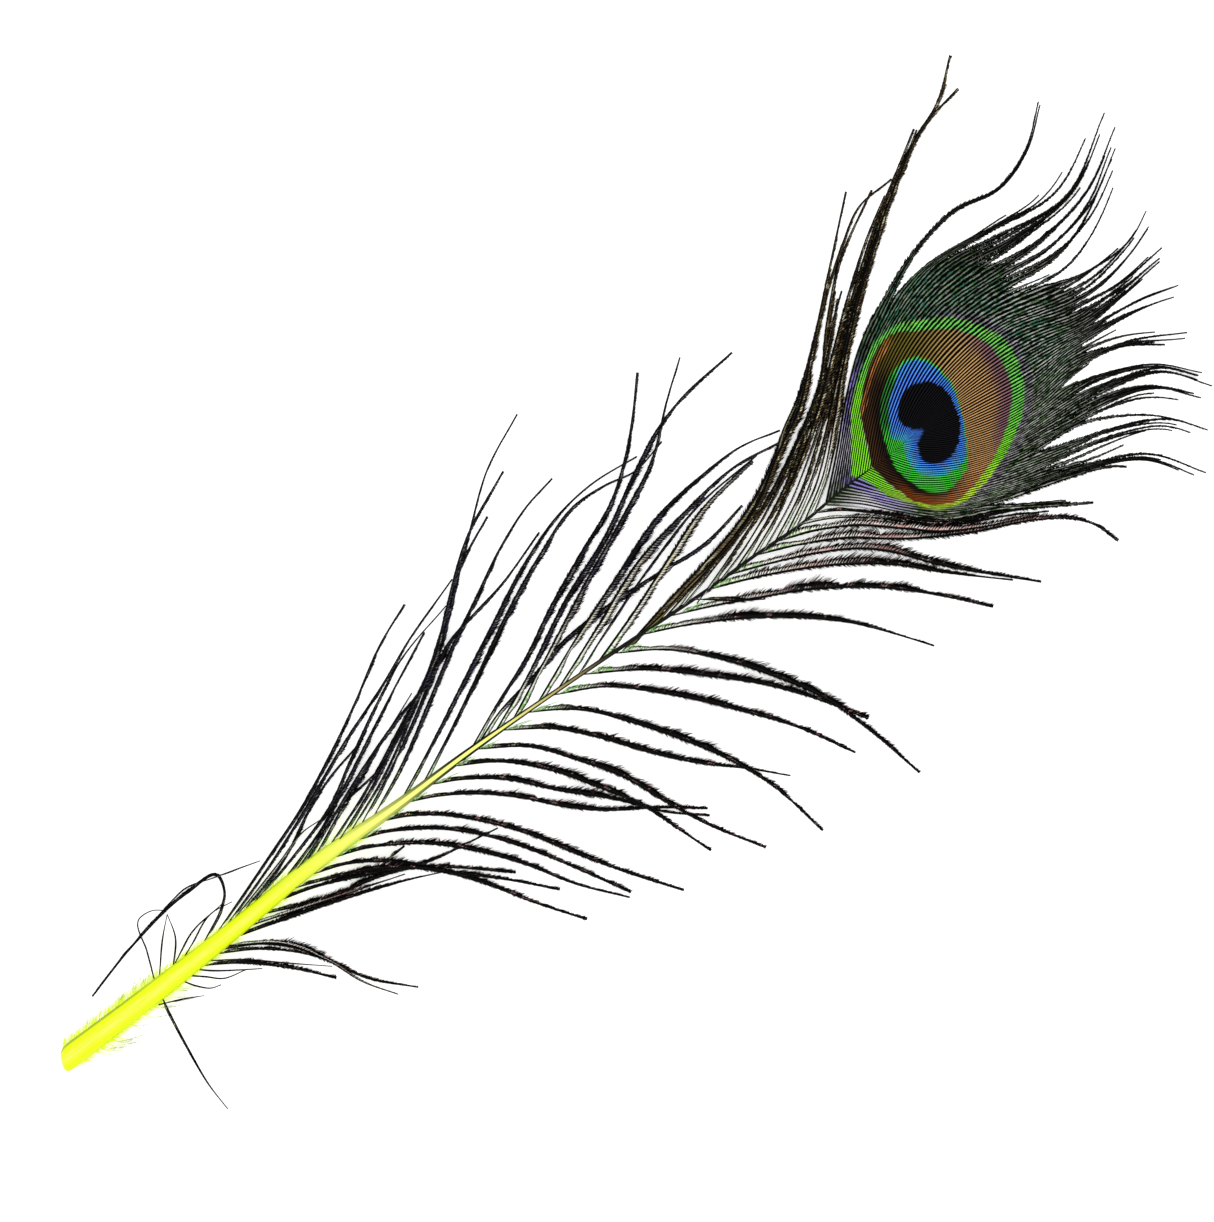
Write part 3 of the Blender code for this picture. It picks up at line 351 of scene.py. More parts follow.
HEART = [
    (168, 134), (169, 135.8), (171.6, 137.4), (175, 137.6), (177.6, 135.6), (179.6, 132),
    (180.2, 130), (180.2, 127), (179, 123.6), (176.6, 121.6), (173, 121.6), (171.8, 124),
    (171.8, 126), (173, 128.2), (171.6, 128.2), (168.8, 129), (168, 130),
]
EYE_CENTRE = (173, 131)

# Bare hairs of the down and in the corners of barbs
HAIR_STATIONS = 5           # cross-sections of a hair, and corners of each
HAIR_SIDES = 3
WHISKERS = 3                # hairs in the corner of one barb and the shaft
WHISKER_SPREAD = 1.5        # stretch of the barb that they grow from
WHISKER_LENGTH = (1.8, 3.4)
WHISKER_BEND = (0.1, 0.7)   # how far a whisker bends along its barb, as a share of its length
WHISKER_LIFT = 0.7          # height of a whisker over where its place falls to
WHISKER_RADII = (0.14, 0.07)
WHISKER_TONE = 0.55         # place across a barb whose tone the whiskers take
WHISKER_STRAND = 0.5        # place in the row of barbs whose tone they take

# Down: side, from and to along the quill, reach, lean forward, radius, share of the hairs
DOWN_GROWTH = [(1, 1.0, 33.0, 1.5, 1.1, 0.06, 1.0), (-1, 1.0, 31.0, 0.9, 1.1, 0.06, 0.9),
               (1, 30.0, 76.0, 1.9, 2.2, 0.05, 1.0), (-1, 30.0, 76.0, 1.9, 2.2, 0.05, 1.0),
               (-1, 2.0, 28.0, 4.6, 6.5, 0.06, 0.14), (1, 6.0, 30.0, 2.6, 2.4, 0.06, 0.12)]
DOWN_SEED = 5
DOWN_SIZES = (0.4, 1.0)     # shortest and longest hair, as a share of the reach
DOWN_LEANS = (0.7, 1.2)
DOWN_ANGLES = (-0.3, 0.5)   # where a hair leaves the quill's side, in radians over its middle
DOWN_THINNING = (20.0, 12.0)    # where the down gets shorter, and the length that takes
DOWN_LOSS = 0.5             # share of its length that it loses there
DOWN_ROOT = 0.95            # place of a hair's root in the quill, as a share of its radius
DOWN_BEND = 1.5             # powers by which a hair leans forward and reaches out
DOWN_BOW = 0.8
DOWN_FALL = 0.8             # share of its height that a hair loses by its tip
DOWN_TIP = 0.3              # thickness of a hair's tip, as a share of its root's
DOWN_CLEARANCE = 0.1        # least height of a hair's middle line
# Strength of the painted glow that the down gives off in its own colour, for light scattered through
# the fine hairs
DOWN_PAINTED_GLOW = 0.2

# Loose barbs
BARB_STEP = 0.6             # distance between two cross-sections
BARB_FEWEST_STEPS = 8
LEAST_ROOT_SLOPE = 0.35     # slope across the shaft under which a root counts as this steep
DEEPEST_ROOT = 2.0          # furthest that a root runs on into the shaft
THIN_BARB_LIFT = 0.3        # middle of a barb without a solid, above where its place falls to
KNOT_SPACING = 2.5          # between two places at which the fringe's width changes by chance
KNOT_MARGIN = 3.0           # how far these places go on past the tip
WOBBLE = 0.2                # how much it changes there
BLUNTNESS = (0.12, 0.6)     # least and most of the fringe's width that is left at the tip
ROOT_OPENING = 2.0          # length over which the fringe opens at the root
HALFWAY = 0.5               # share of a barb's length beyond which it gets thinner
TAPER_RUN = 0.45            # share of the length over which its fringe does
FRINGE_CLOSED = 5.0         # length over which the fringe stays closed
FRINGE_OPENING = 9.0        # length over which it then comes loose
FRINGE_LOSS = 0.26          # share of the closed fringe that is gone where it is loose
FRINGE_LEAST = 0.05
FRINGE_BEGIN = 1.0          # where the first barbule of a loose barb stands
FULL_LIMITS = (0.1, 1.4)    # least and most fullness that the barbules follow
RAMUS_LOSS = 0.4            # share of the ramus that is gone at the tip
RAMUS_SHARES = (0.7, 0.3)   # ramus of a bare barb, and what a full fringe adds to it
BARB_RIDGE = 0.11           # ridge of a barb over its middle line
BARB_ROOF = 0.1             # fall from the ridge to the edges
BARB_DEPTH = 0.16           # from the edges down to the underside
SPARE_SIDE = 0.5            # barbules on the side of the ramus, as a share of the full side's
STRAND_SPREAD = 0.05        # most that a barb's colours differ from what its place gives

# Place across a barb, as its material reads it, of a strip's left edge, ridge, right edge and foot
ACROSS_EVEN = (1.0, 0.0, -1.0, 0.0)
ACROSS_FRINGE_LEFT = (1.0, 0.25, 0.0, 0.6)
ACROSS_FRINGE_RIGHT = (0.0, 0.25, 1.0, 0.6)

# Barbules
TUFT_GATHER = 0.7           # how far the barbules of one tuft draw together at their tips
TUFT_LENGTH = 0.8           # length of barb whose barbules make one tuft
TUFT_HEIGHTS = (0.55, 1.1)
BARBULE_JITTER = 0.35       # how far a barbule is off its even place, as a share of the spacing
BARBULE_LENGTHS = (0.8, 1.1)
BARBULE_SLANTS = (0.8, 1.2)
BARBULE_INSET = 0.06        # how far a barbule's root lies inside the edge it grows from
BARBULE_DROOP = 0.05        # fall of a barbule from root to tip
BARE_TIP = 0.2              # length of a barb's tip that bears no barbules
CLOSED_REACH = (0.3, 0.7)   # reach of the closed fringe's barbules, and what loose ones add

# The eye's barbs, numbered from the lower right.  Stretches are shares of a barb's length.
EYE_SEED = 9
EYE_STATIONS = 121
EYE_SHARE = [(0.0, 0), (0.727, 18), (1.0, 27)]  # share of the barbs up to a guide
# Where the locks part, by guide
LOCK_PARTING = [(0, 0.55), (3, 0.51), (8, 0.49), (11, 0.57), (14, 0.63), (17, 0.61), (20, 0.57),
                (24, 0.5), (27, 0.42)]
PARTING_SPREAD = 0.05       # how far the places where small locks part differ
SMALL_LOCK = (1, 5)         # fewest and most barbs in a small lock, and in a large one
LARGE_LOCK = (5, 10)
SMALL_DRAW = (0.55, 0.95)   # how far the barbs of a small lock draw together, and of a large one
LARGE_DRAW = (0.3, 0.8)
SMALL_DRAW_RUN = 0.22       # stretch over which they do
LARGE_DRAW_START = 0.62
LARGE_DRAW_RUN = 0.34
LONERS = 0.12               # share of the barbs that don't draw towards a small lock
LOW_BARBS = 8               # first barbs, which stay out of the large locks
STOUT_BARBS = 6             # the first of them, which are stouter than the others
FREE_BARBS = 3              # last barbs, which make one strand of their own
FREE_DRAW = 0.88            # how far these draw together, from where and over what stretch
FREE_DRAW_START = 0.4
FREE_DRAW_RUN = 0.2
STRAYING = 0.7              # how far a barb's tip strays to a side
FREE_STRAYING = 0.2         # share of that for the last barbs
STRAYING_START = 0.6
STRAYING_RUN = 0.4
SHORTER_SHAPE = (1.1, 1.5)  # spread of the barbs' lengths
SHORTER_MOST = 0.38         # share of its length that the shortest barb loses
SHORTER_LEADER = 0.25       # share of its loss that the longest barb of a small lock keeps
EYE_CLOSED_WIDTH = 0.58     # half width that a closed barb may have over a free one's
EYE_FREE_WIDTH = 0.28       # half width of a free barb, and of a stout one
EYE_STOUT_WIDTH = 0.46
EYE_RIM_WIDTH = 0.5         # half width of the fan's first and last barb on their outer side
EYE_OVERLAP = 0.03          # how far the barbs lap over each other where they touch
EYE_PARTING_LEAD = 0.04     # how far before its parting a barb begins to narrow and to lift
EYE_NARROWING_RUN = 0.12
EYE_LIFTING_RUN = 0.2
EYE_LIFTS = (-0.25, 0.3)    # lowest and highest lift of a free barb
EYE_TAPER = (0.5, 0.7, 0.3)     # share of its width that a barb loses, from where, over what
EYE_HAIR_TAPER = (0.65, 0.6, 0.4)   # the same for the length of its barbules
EYE_FULLNESS = (0.25, 0.6)  # barbules of a barb in the eye, as a share of a loose barb's
EYE_STOUT_FULLER = 0.25
EYE_HEIGHT = 0.25           # ridge of a barb over where its place falls to
EYE_ROOF = 0.14             # fall from the ridge to the edges
EYE_DEPTH = 0.2             # from the edges down to the underside
EYE_HAIR_DROP = 0.15        # barbules' roots under the ridge
EYE_HAIR_LEAD = 0.02        # how far before the parting the barbules begin

# The eye's colour zones
OUTER_ZONE_REACH = 9.0      # distance outside the ring at which the depth is 0
HEART_ZONE_REACH = 6.0      # distance inside the heart's outline over which it grows by 1
ZONE_UNEVENNESS = 0.35      # how far a barb's colour borders lie from the next barb's
ZONE_SCATTER = 7919.0       # prime that turns a barb's strand value into one by chance
# Sides of the eye, named as they lie on the sheet: bearing from the tip's side to the left of the
# feather, half width and softness, in degrees
EYE_SIDES = {
    "shaft": (172.0, 46.0, 15.0),
    "pale corner": (-148.0, 28.0, 4.0),
    "teal band": (44.0, 60.0, 15.0),
    "few lines": (72.0, 50.0, 15.0),
    "mauve band": (-25.0, 70.0, 15.0),
    "dark band": (112.0, 26.0, 15.0),
    "violet left": (134.0, 22.0, 15.0),
    "violet foot": (-162.0, 20.0, 15.0),
    "lime ring": (165.0, 50.0, 15.0),
    "lime foot": (-76.0, 30.0, 20.0),
    "yellow ring": (-112.0, 35.0, 15.0),
    "teal ring": (30.0, 45.0, 15.0),
    "dark bronze": (170.0, 95.0, 15.0),
    "olive bronze": (50.0, 40.0, 25.0),
    "orange bronze": (-108.0, 34.0, 15.0),
    # Side where the bronze field carries a painted highlight along its barbs
    "highlit bronze": (-30.0, 72.0, 32.0),
    "violet edge": (-18.0, 40.0, 15.0),
    "streaks": (112.0, 32.0, 8.0),
    "iris left": (128.0, 40.0, 15.0),
    "iris foot": (-136.0, 46.0, 15.0),
}

# The shaft's colours, by distance from the cut end: where each begins and where it is full
QUILL_FADE = (46.0, 90.0)
# Where the painted shade on one side of the quill begins and where it is full
QUILL_SHADE = (34.0, 14.0)
SHAFT_RIM = (66.0, 100.0)
SHAFT_GOLD = (108.0, 134.0)
SHAFT_DARK = (122.0, 146.0)
SHAFT_BLUE = (203.0, 207.0)


def colour(code):
    """Linear red, green and blue of an sRGB hex code."""
    parts = [int(code[i:i + 2], 16) / 255 for i in (0, 2, 4)]
    return tuple(p / 12.92 if p <= 0.04045 else ((p + 0.055) / 1.055) ** 2.4 for p in parts)


# ---------------------------------------------------------------- settings

def length(name, description, value):
    """A length to set, with its default in millimetres."""
    return FloatProperty(name=name, description=description, default=value * MM, min=0.0,
                         precision=5, subtype="DISTANCE", unit="LENGTH")


def paint(name, description, code):
    """A colour to set, with its default as an sRGB hex code."""
    return FloatVectorProperty(name=name, description=description, subtype="COLOR", size=3,
                               min=0.0, max=1.0, default=colour(code))


class FeatherSizes(bpy.types.PropertyGroup):
    """Sizes of the fibres, and how many there are"""

    fringe_width: length("Fringe width", "Closed fringe along one side of a loose barb", 1.15)
    ramus_width: length("Ramus width", "Smooth stem of a loose barb", 0.58)
    barbule_length: length("Barbule length", "Barbules on the full side of a barb", 1.75)
    barbule_width: length("Barbule width", "Width of one barbule at its root", 0.36)
    barbule_spacing: length("Barbule spacing", "Distance between two barbules", 0.33)
    barbule_slant: FloatProperty(
        name="Barbule slant", description="Angle between a barbule and its barb",
        default=math.radians(36), min=0.1, max=1.5, subtype="ANGLE", unit="ROTATION")
    eye_barbs: IntProperty(name="Eye barbs", description="Barbs in the fan of the eye",
                           default=100, min=30, max=300)
    down_hairs: IntProperty(name="Down hairs", description="Hairs along each side of the quill",
                            default=420, min=10, max=2000)
    seed: IntProperty(name="Seed", description="Number that settles every random choice",
                      default=7, min=0)


class FeatherColours(bpy.types.PropertyGroup):
    """Colours of the feather"""

    quill: paint("Quill", "Dyed yellow of the quill", "E4F804")
    # Painted highlight along the top of the quill, and also the paler dye where the quill fades
    # further along
    quill_highlight_and_fade: paint("Quill middle", "Paler band along the top of the quill", "F6FA90")
    # Painted shade along both sides of the round quill
    quill_edge_shade: paint("Quill edge", "Darker line along the sides of the quill", "D2EA00")
    # Painted shade in olive on one side of the quill near the cut end
    quill_shade: paint("Quill shade", "Olive side near the cut end", "98AC00")
    shaft_gold: paint("Golden shaft", "Shaft where the yellow fades", "C4B070")
    shaft_dark: paint("Dark shaft", "Shaft inside the eye", "060504")
    shaft_end: paint("Shaft end", "Thin end of the shaft inside the iris", "0A2038")
    barb: paint("Barb", "Loose barbs", "070605")
    barb_pale: paint("Pale fringe", "Fringe of the barbs near their roots", "FCFAF0")
    barb_green: paint("Green glint", "Green flecks near the roots of the barbs", "74C044")
    pink_blush: paint("Pink blush", "Pink tint of the pale fringe near the eye", "E2B4AC")
    cream_blush: paint("Cream blush", "Cream tint of the pale fringe on the left", "D8D0A8")
    right_tint: paint("Right tint", "Brown and violet tint of the right barbs", "5A3644")
    left_tint: paint("Left tint", "Blue and violet tint of the left barbs", "625C74")
    brown: paint("Brown strand", "The thick brown strand beside the eye", "7A6440")
    tip: paint("Tip", "Dark tips of the eye's barbs", "0A0806")
    tip_brown: paint("Brown tip", "Brown flecks in the dark tips", "2C2014")
    olive: paint("Olive band", "Dark green band round the ring", "507A34")
    teal: paint("Teal flecks", "Blue-green flecks in the dark band", "28745A")
    # Painted highlight along the barbs' ridges in the dark band
    pale_highlight: paint("Pale lines", "Light ribs in the dark band", "C6C8C0")
    mauve: paint("Mauve band", "Grey violet band close to the ring", "94809E")
    lilac: paint("Lilac", "Pale barbs between the ring and the shaft", "FCFAFF")
    violet_blue: paint("Violet blue", "Violet barbs against the ring", "A08CF0")
    # Painted shade in the creases between the barbs, and also the dark of the barbule lines
    gap: paint("Gap", "Dark lines between the barbs", "040403")
    ring: paint("Ring", "Green ring", "2CE060")
    # Also the painted highlight along the barbs of the iris's green rim
    ring_lime: paint("Lime ring", "Bright lime side of the ring", "6CFF1E")
    # Also tints the painted highlight along the barbs of the ring
    ring_yellow: paint("Yellow ring", "Yellow-green lower edge of the ring", "D4FF40")
    bronze: paint("Bronze", "Bronze field inside the ring", "6E4E1A")
    bronze_dark: paint("Dark bronze", "Brown side of the bronze field", "46280E")
    bronze_shadow: paint("Bronze shadow", "Darkest bronze, next to the iris", "1E0E05")
    # Painted highlight along the barbs' ridges in the bronze field
    bronze_highlight: paint("Bronze rib", "Pale ribs in the bronze field", "FAC280")
    bronze_olive: paint("Olive bronze", "Olive gold top of the bronze field", "6E6418")
    bronze_orange: paint("Orange bronze", "Orange foot of the bronze field", "A04C10")
    streak: paint("Orange streak", "Salmon streaks inside the ring", "FF9A50")
    violet: paint("Violet edge", "Violet edge of the bronze field", "7E5272")
    iris_green: paint("Iris green", "Green rim of the blue field", "14CC48")
    iris_teal: paint("Iris teal", "Blue-green side of the blue field", "0A5030")
    iris_blue: paint("Iris blue", "Blue close to the heart", "2238FF")
    iris_sky: paint("Iris sky", "Lighter blue away from the heart", "1C74FF")
    iris_cyan: paint("Iris cyan", "Cyan below the heart", "3CD0F0")
    # Painted highlight along the barbs' ridges in the blue field
    iris_highlight: paint("Iris rib", "Bright ribs in the blue field", "62B8FF")
    heart: paint("Heart", "Black heart of the eye", "010104")
    down: paint("Down", "Down along the quill", "E8FF10")
    down_tip: paint("Down tip", "Tips of the down", "3E4A10")


class StudioSetup(bpy.types.PropertyGroup):
    """Floor, light and camera"""

    floor: paint("Floor", "Plain floor under the feather", "FAFAFA")
    floor_glow: FloatProperty(name="Floor glow", description="Light of the white table itself",
                              default=0.4, min=0.0)
    lamp: FloatProperty(name="Lamp", description="Strength of the soft lamp overhead",
                        default=5.2, min=0.0, subtype="POWER", unit="POWER")
    sky: FloatProperty(name="Sky", description="Strength of the white surroundings",
                       default=0.86, min=0.0)
    lens: FloatProperty(name="Lens", description="Focal length of the camera", default=200.0,
                        min=10.0, subtype="DISTANCE_CAMERA")


# ---------------------------------------------------------------- routes and heights

def ease(value, start=0.0, run=1.0):
    """Smooth step from 0 where the value is start to 1 where it is start + run."""
    t = np.clip((value - start) / run, 0.0, 1.0)
    return t * t * (3.0 - 2.0 * t)


def place(points):
    """Drawing sheet points to the feather's frame, in mm."""
    sheet = np.asarray(points, float)
    lean = math.radians(LEAN)
    turn = np.array([[math.cos(lean), -math.sin(lean)], [math.sin(lean), math.cos(lean)]])
    return sheet @ turn - np.array(FEATHER_MIDDLE)


def steps_of(points):
    """Distances between neighbouring points of one curve, or of each of several."""
    return np.linalg.norm(np.diff(points, axis=-2), axis=-1)


def lengths_along(curve):
    """Distance of every point of a curve from its start, along the curve."""
    return np.concatenate([[0.0], np.cumsum(steps_of(curve))])


def smooth_curve(points, step=CURVE_STEP):
    """Closely spaced points of the smooth curve that passes through all the given points."""
    points = np.asarray(points, float)
    spans = steps_of(points)
    pace = np.diff(points, axis=0) / spans[:, None]
    slopes = np.empty_like(points)
    slopes[0], slopes[-1] = pace[0], pace[-1]
    before, after = spans[:-1, None], spans[1:, None]
    slopes[1:-1] = (pace[:-1] * after + pace[1:] * before) / (before + after)
    pieces = []
    for i, span in enumerate(spans):
        count = max(2, round(span / step))
        t = (np.arange(count) / count)[:, None]
        pieces.append((2 * t**3 - 3 * t**2 + 1) * points[i]
                      + (t**3 - 2 * t**2 + t) * span * slopes[i]
                      + (3 * t**2 - 2 * t**3) * points[i + 1]
                      + (t**3 - t**2) * span * slopes[i + 1])
    return np.vstack([*pieces, points[-1:]])


def even_points(curve, count):
    """count + 1 points at even distances along the curve."""
    lengths = lengths_along(curve)
    return between(np.linspace(0.0, lengths[-1], count + 1), lengths, curve)


def between(spots, lengths, vectors):
    """Plan vectors that are known at some lengths, read at the spots between them."""
    return np.column_stack([np.interp(spots, lengths, vectors[:, c]) for c in (0, 1)])


def units(vectors):
    """The vectors at a length of 1."""
    return vectors / np.maximum(np.linalg.norm(vectors, axis=1), NEARLY_NOTHING)[:, None]


def sides_of(points):
    """Unit vectors to the left of a row of plan points."""
    run = units(np.gradient(points, axis=0))
    return np.column_stack([-run[:, 1], run[:, 0]])


def in_blocks(points):
    return np.array_split(points, max(1, len(points) // BLOCK))


SHAFT_CURVE = smooth_curve(place(SHAFT_ROUTE))
SHAFT_START = SHAFT_CURVE[0, 0]
SHAFT_LENGTH = SHAFT_RADII[-1][0]


def shaft_radius(along):
    return np.interp(along, *zip(*SHAFT_RADII))


def shaft_middle(along):
    """Place of the shaft's middle line across the feather."""
    return np.interp(along, SHAFT_CURVE[:, 0] - SHAFT_START, SHAFT_CURVE[:, 1])


def shaft_height(along):
    """Height of the shaft's middle line: flat along the quill, then one long bow."""
    along = np.asarray(along, float)
    rise = ARCH_HEIGHT * ease(along, QUILL_REST, ARCH_TOP - QUILL_REST)
    drop = ease(along, ARCH_TOP, SHAFT_LENGTH - ARCH_TOP)
    underside = np.where(along < ARCH_TOP, rise,
                         ARCH_HEIGHT + (SHAFT_END_LIFT - ARCH_HEIGHT) * drop)
    return underside + shaft_radius(along) * SHAFT_FLAT_SIDE


def nearest_on_shaft(points):
    """Distances from points to the shaft's line in plan, and how far along it they are."""
    distances, places = [], []
    for block in in_blocks(points):
        gaps = np.linalg.norm(block[:, None, :] - SHAFT_CURVE[None, :, :], axis=2)
        best = gaps.argmin(axis=1)
        distances.append(gaps[np.arange(len(block)), best])
        places.append(SHAFT_CURVE[best, 0] - SHAFT_START)
    return np.concatenate(distances), np.concatenate(places)


def surface_height(points):
    """Height of the middle of what lies at plan points, falling from shaft to floor."""
    distance, along = nearest_on_shaft(points)
    height = shaft_height(along) * (1.0 - ease(distance, 0.0, FALL_REACH))
    return height + CURL_HEIGHT * ease(distance, CURL_START, CURL_REACH)


def height_in_solid(node, points):
    """Height of a barb's middle line inside its solid, read from above it."""
    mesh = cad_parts[node].data
    tree = BVHTree.FromPolygons([v.co / MM for v in mesh.vertices],
                                [p.vertices for p in mesh.polygons])
    heights = []
    for (x, y), guess in zip(points, surface_height(points)):
        hit = tree.ray_cast((x, y, PROBE_HEIGHT), (0.0, 0.0, -1.0))[0]
        if hit is None:
            hit = tree.find_nearest((x, y, guess + BARB_THICKNESS))[0]
        heights.append(hit.z - BARB_THICKNESS / 2)
    blur = np.ones(HEIGHT_BLUR) / HEIGHT_BLUR
    return np.convolve(np.pad(heights, HEIGHT_BLUR // 2, mode="edge"), blur, mode="valid")


def outline_distance(points, outline):
    """Signed distance from plan points to a closed outline, positive inside it."""
    curve = smooth_curve(np.vstack([outline, outline[:1]]), OUTLINE_STEP)
    start, run = curve[:-1], np.diff(curve, axis=0)
    low, high = start[:, 1], start[:, 1] + run[:, 1]
    result = []
    for block in in_blocks(points):
        offset = block[:, None, :] - start[None]
        share = np.clip((offset * run).sum(2) / (run * run).sum(1), 0.0, 1.0)
        gap = np.linalg.norm(offset - share[..., None] * run, axis=2).min(axis=1)
        y = block[:, None, 1]
        crosses = (low > y) != (high > y)
        with np.errstate(divide="ignore", invalid="ignore"):
            at = start[:, 0] + (y - low) / run[:, 1] * run[:, 0]
        inside = (crosses & (block[:, None, 0] < at)).sum(axis=1) % 2 == 1
        result.append(np.where(inside, gap, -gap))
    return np.concatenate(result)


# ---------------------------------------------------------------- meshes

class Fibres:
    """Gathers strips, tubes and barbules in mm and turns them into one object."""

    def __init__(self):
        self.points = []
        self.faces = []
        self.values = {}
        self.count = 0

    def add(self, points, faces, **values):
        """Points (n, 3), faces (m, 4) with -1 for a missing corner, and values per point."""
        self.points.append(points)
        self.faces.append(np.where(faces >= 0, faces + self.count, -1))
        for name, value in values.items():
            self.values.setdefault(name, []).append(np.broadcast_to(value, len(points)))
        self.count += len(points)

    def sections(self, rings, **values):
        """Closed tube with ends through rings of points, an array (rings, corners, 3)."""
        rows, corners = rings.shape[:2]
        row = np.arange(rows - 1)[:, None] * corners
        a = np.arange(corners)[None, :]
        b = (a + 1) % corners
        walls = np.stack([row + a, row + b, row + corners + b, row + corners + a], axis=-1)
        last = (rows - 1) * corners
        ends = [(0, k + 1, k, -1) for k in range(1, corners - 1)]
        ends += [(last, last + k, last + k + 1, -1) for k in range(1, corners - 1)]
        spread = {name: np.broadcast_to(value, (rows, corners)).reshape(-1)
                  for name, value in values.items()}
        self.add(rings.reshape(-1, 3), np.vstack([walls.reshape(-1, 4), ends]), **spread)

    def strip(self, middle, left, right, top, roof, depth, along, strand, across):
        """Thin roof-shaped strip with a ridge over its middle line and a flat underside."""
        low = top - roof
        rings = np.stack([np.column_stack([left, low]), np.column_stack([middle, top]),
                          np.column_stack([right, low]),
                          np.column_stack([middle, low - depth])], axis=1)
        self.sections(rings, along=along[:, None], across=np.array(across)[None, :],
                      strand=strand)

    def hair(self, path, thick, thin, along, strand, across=None):
        """Round hair along a path of (x, y, z) points, with its radii at root and tip."""
        side = sides_of(path[:, :2])
        radii = np.linspace(thick, thin, HAIR_STATIONS)[:, None]
        angle = 2 * np.pi * np.arange(HAIR_SIDES) / HAIR_SIDES
        rings = np.repeat(path[:, None, :], HAIR_SIDES, axis=1)
        rings[:, :, 0] += side[:, 0, None] * np.cos(angle) * radii
        rings[:, :, 1] += side[:, 1, None] * np.cos(angle) * radii
        rings[:, :, 2] += np.sin(angle) * radii
        across = np.cos(angle)[None, :] if across is None else across
        self.sections(rings, along=along[:, None], across=across, strand=strand)

    def barbules(self, roots, run, outward, lengths, slant, width, along, across, strand,
                 tufts):
        """Three-sided spikes that lean forward from the edge of a barb, drawn into tufts."""
        count = len(roots)
        reach = run * np.cos(slant)[:, None] + outward * np.sin(slant)[:, None]
        plan, height = roots[:, :2], roots[:, 2]
        tips = plan + reach * lengths[:, None]
        members = np.bincount(tufts)[tufts]
        middles = np.column_stack([np.bincount(tufts, tips[:, c])[tufts] / members
                                   for c in (0, 1)])
        tips = tips + (middles - tips) * TUFT_GATHER
        points = np.empty((count, 4, 3))
        points[:, 0] = np.column_stack([plan - run * width / 2, height])
        points[:, 1] = np.column_stack([plan + run * width / 2, height])
        points[:, 2] = np.column_stack([plan - outward * width / 4, height + width])
        points[:, 3] = np.column_stack([tips, height - BARBULE_DROOP])
        corner = np.array([(0, 1, 3, -1), (1, 2, 3, -1), (2, 0, 3, -1), (0, 2, 1, -1)])
        faces = np.where(corner >= 0, corner + 4 * np.arange(count)[:, None, None], -1)
        self.add(points.reshape(-1, 3), faces.reshape(-1, 4), along=np.repeat(along, 4),
                 across=across, strand=np.repeat(strand, 4))

    def make_mesh(self, name, points, faces):
        """Smooth-shaded mesh, with an attribute for each kind of value."""
        present = faces >= 0
        totals = present.sum(axis=1)
        starts = np.concatenate([[0], np.cumsum(totals)[:-1]])
        mesh = bpy.data.meshes.new(name)
        mesh.vertices.add(len(points))
        mesh.vertices.foreach_set("co", points.astype(np.float32).ravel())
        mesh.loops.add(int(totals.sum()))
        mesh.loops.foreach_set("vertex_index", faces[present].astype(np.int32))
        mesh.polygons.add(len(faces))
        mesh.polygons.foreach_set("loop_start", starts.astype(np.int32))
        mesh.polygons.foreach_set("use_smooth", np.ones(len(faces), bool))
        mesh.update(calc_edges=True)
        for key, value in self.values.items():
            layer = mesh.attributes.new(key, "FLOAT", "POINT")
            layer.data.foreach_set("value", np.concatenate(value).astype(np.float32))
        return mesh

    def build(self, name, material, nodes, flat_map=True):
        """One object of all the fibres, riding on the feather and standing for its nodes."""
        points = np.vstack(self.points) * MM
        points[:, 2] = np.maximum(points[:, 2], 0.0)
        faces = np.vstack(self.faces)
        mesh = self.make_mesh(name, points, faces)
        if flat_map:
            lay_flat(mesh, points[faces[faces >= 0], :2])
        mesh.materials.append(material)
        obj = bpy.data.objects.new(name, mesh)
        bpy.context.scene.collection.objects.link(obj)
        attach(obj, BODY)
        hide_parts(*nodes)


def lay_flat(mesh, corners):
    """Gives a mesh a map that shows it as seen from above, from its corners' plan points."""
    low, high = corners.min(axis=0), corners.max(axis=0)
    spread = (corners - low) / (high - low).max()
    layer = mesh.uv_layers.new(name=MAP_NAME)
    layer.data.foreach_set("uv", (MAP_MARGIN + MAP_WIDTH * spread).astype(np.float32).ravel())


# ---------------------------------------------------------------- shader helpers

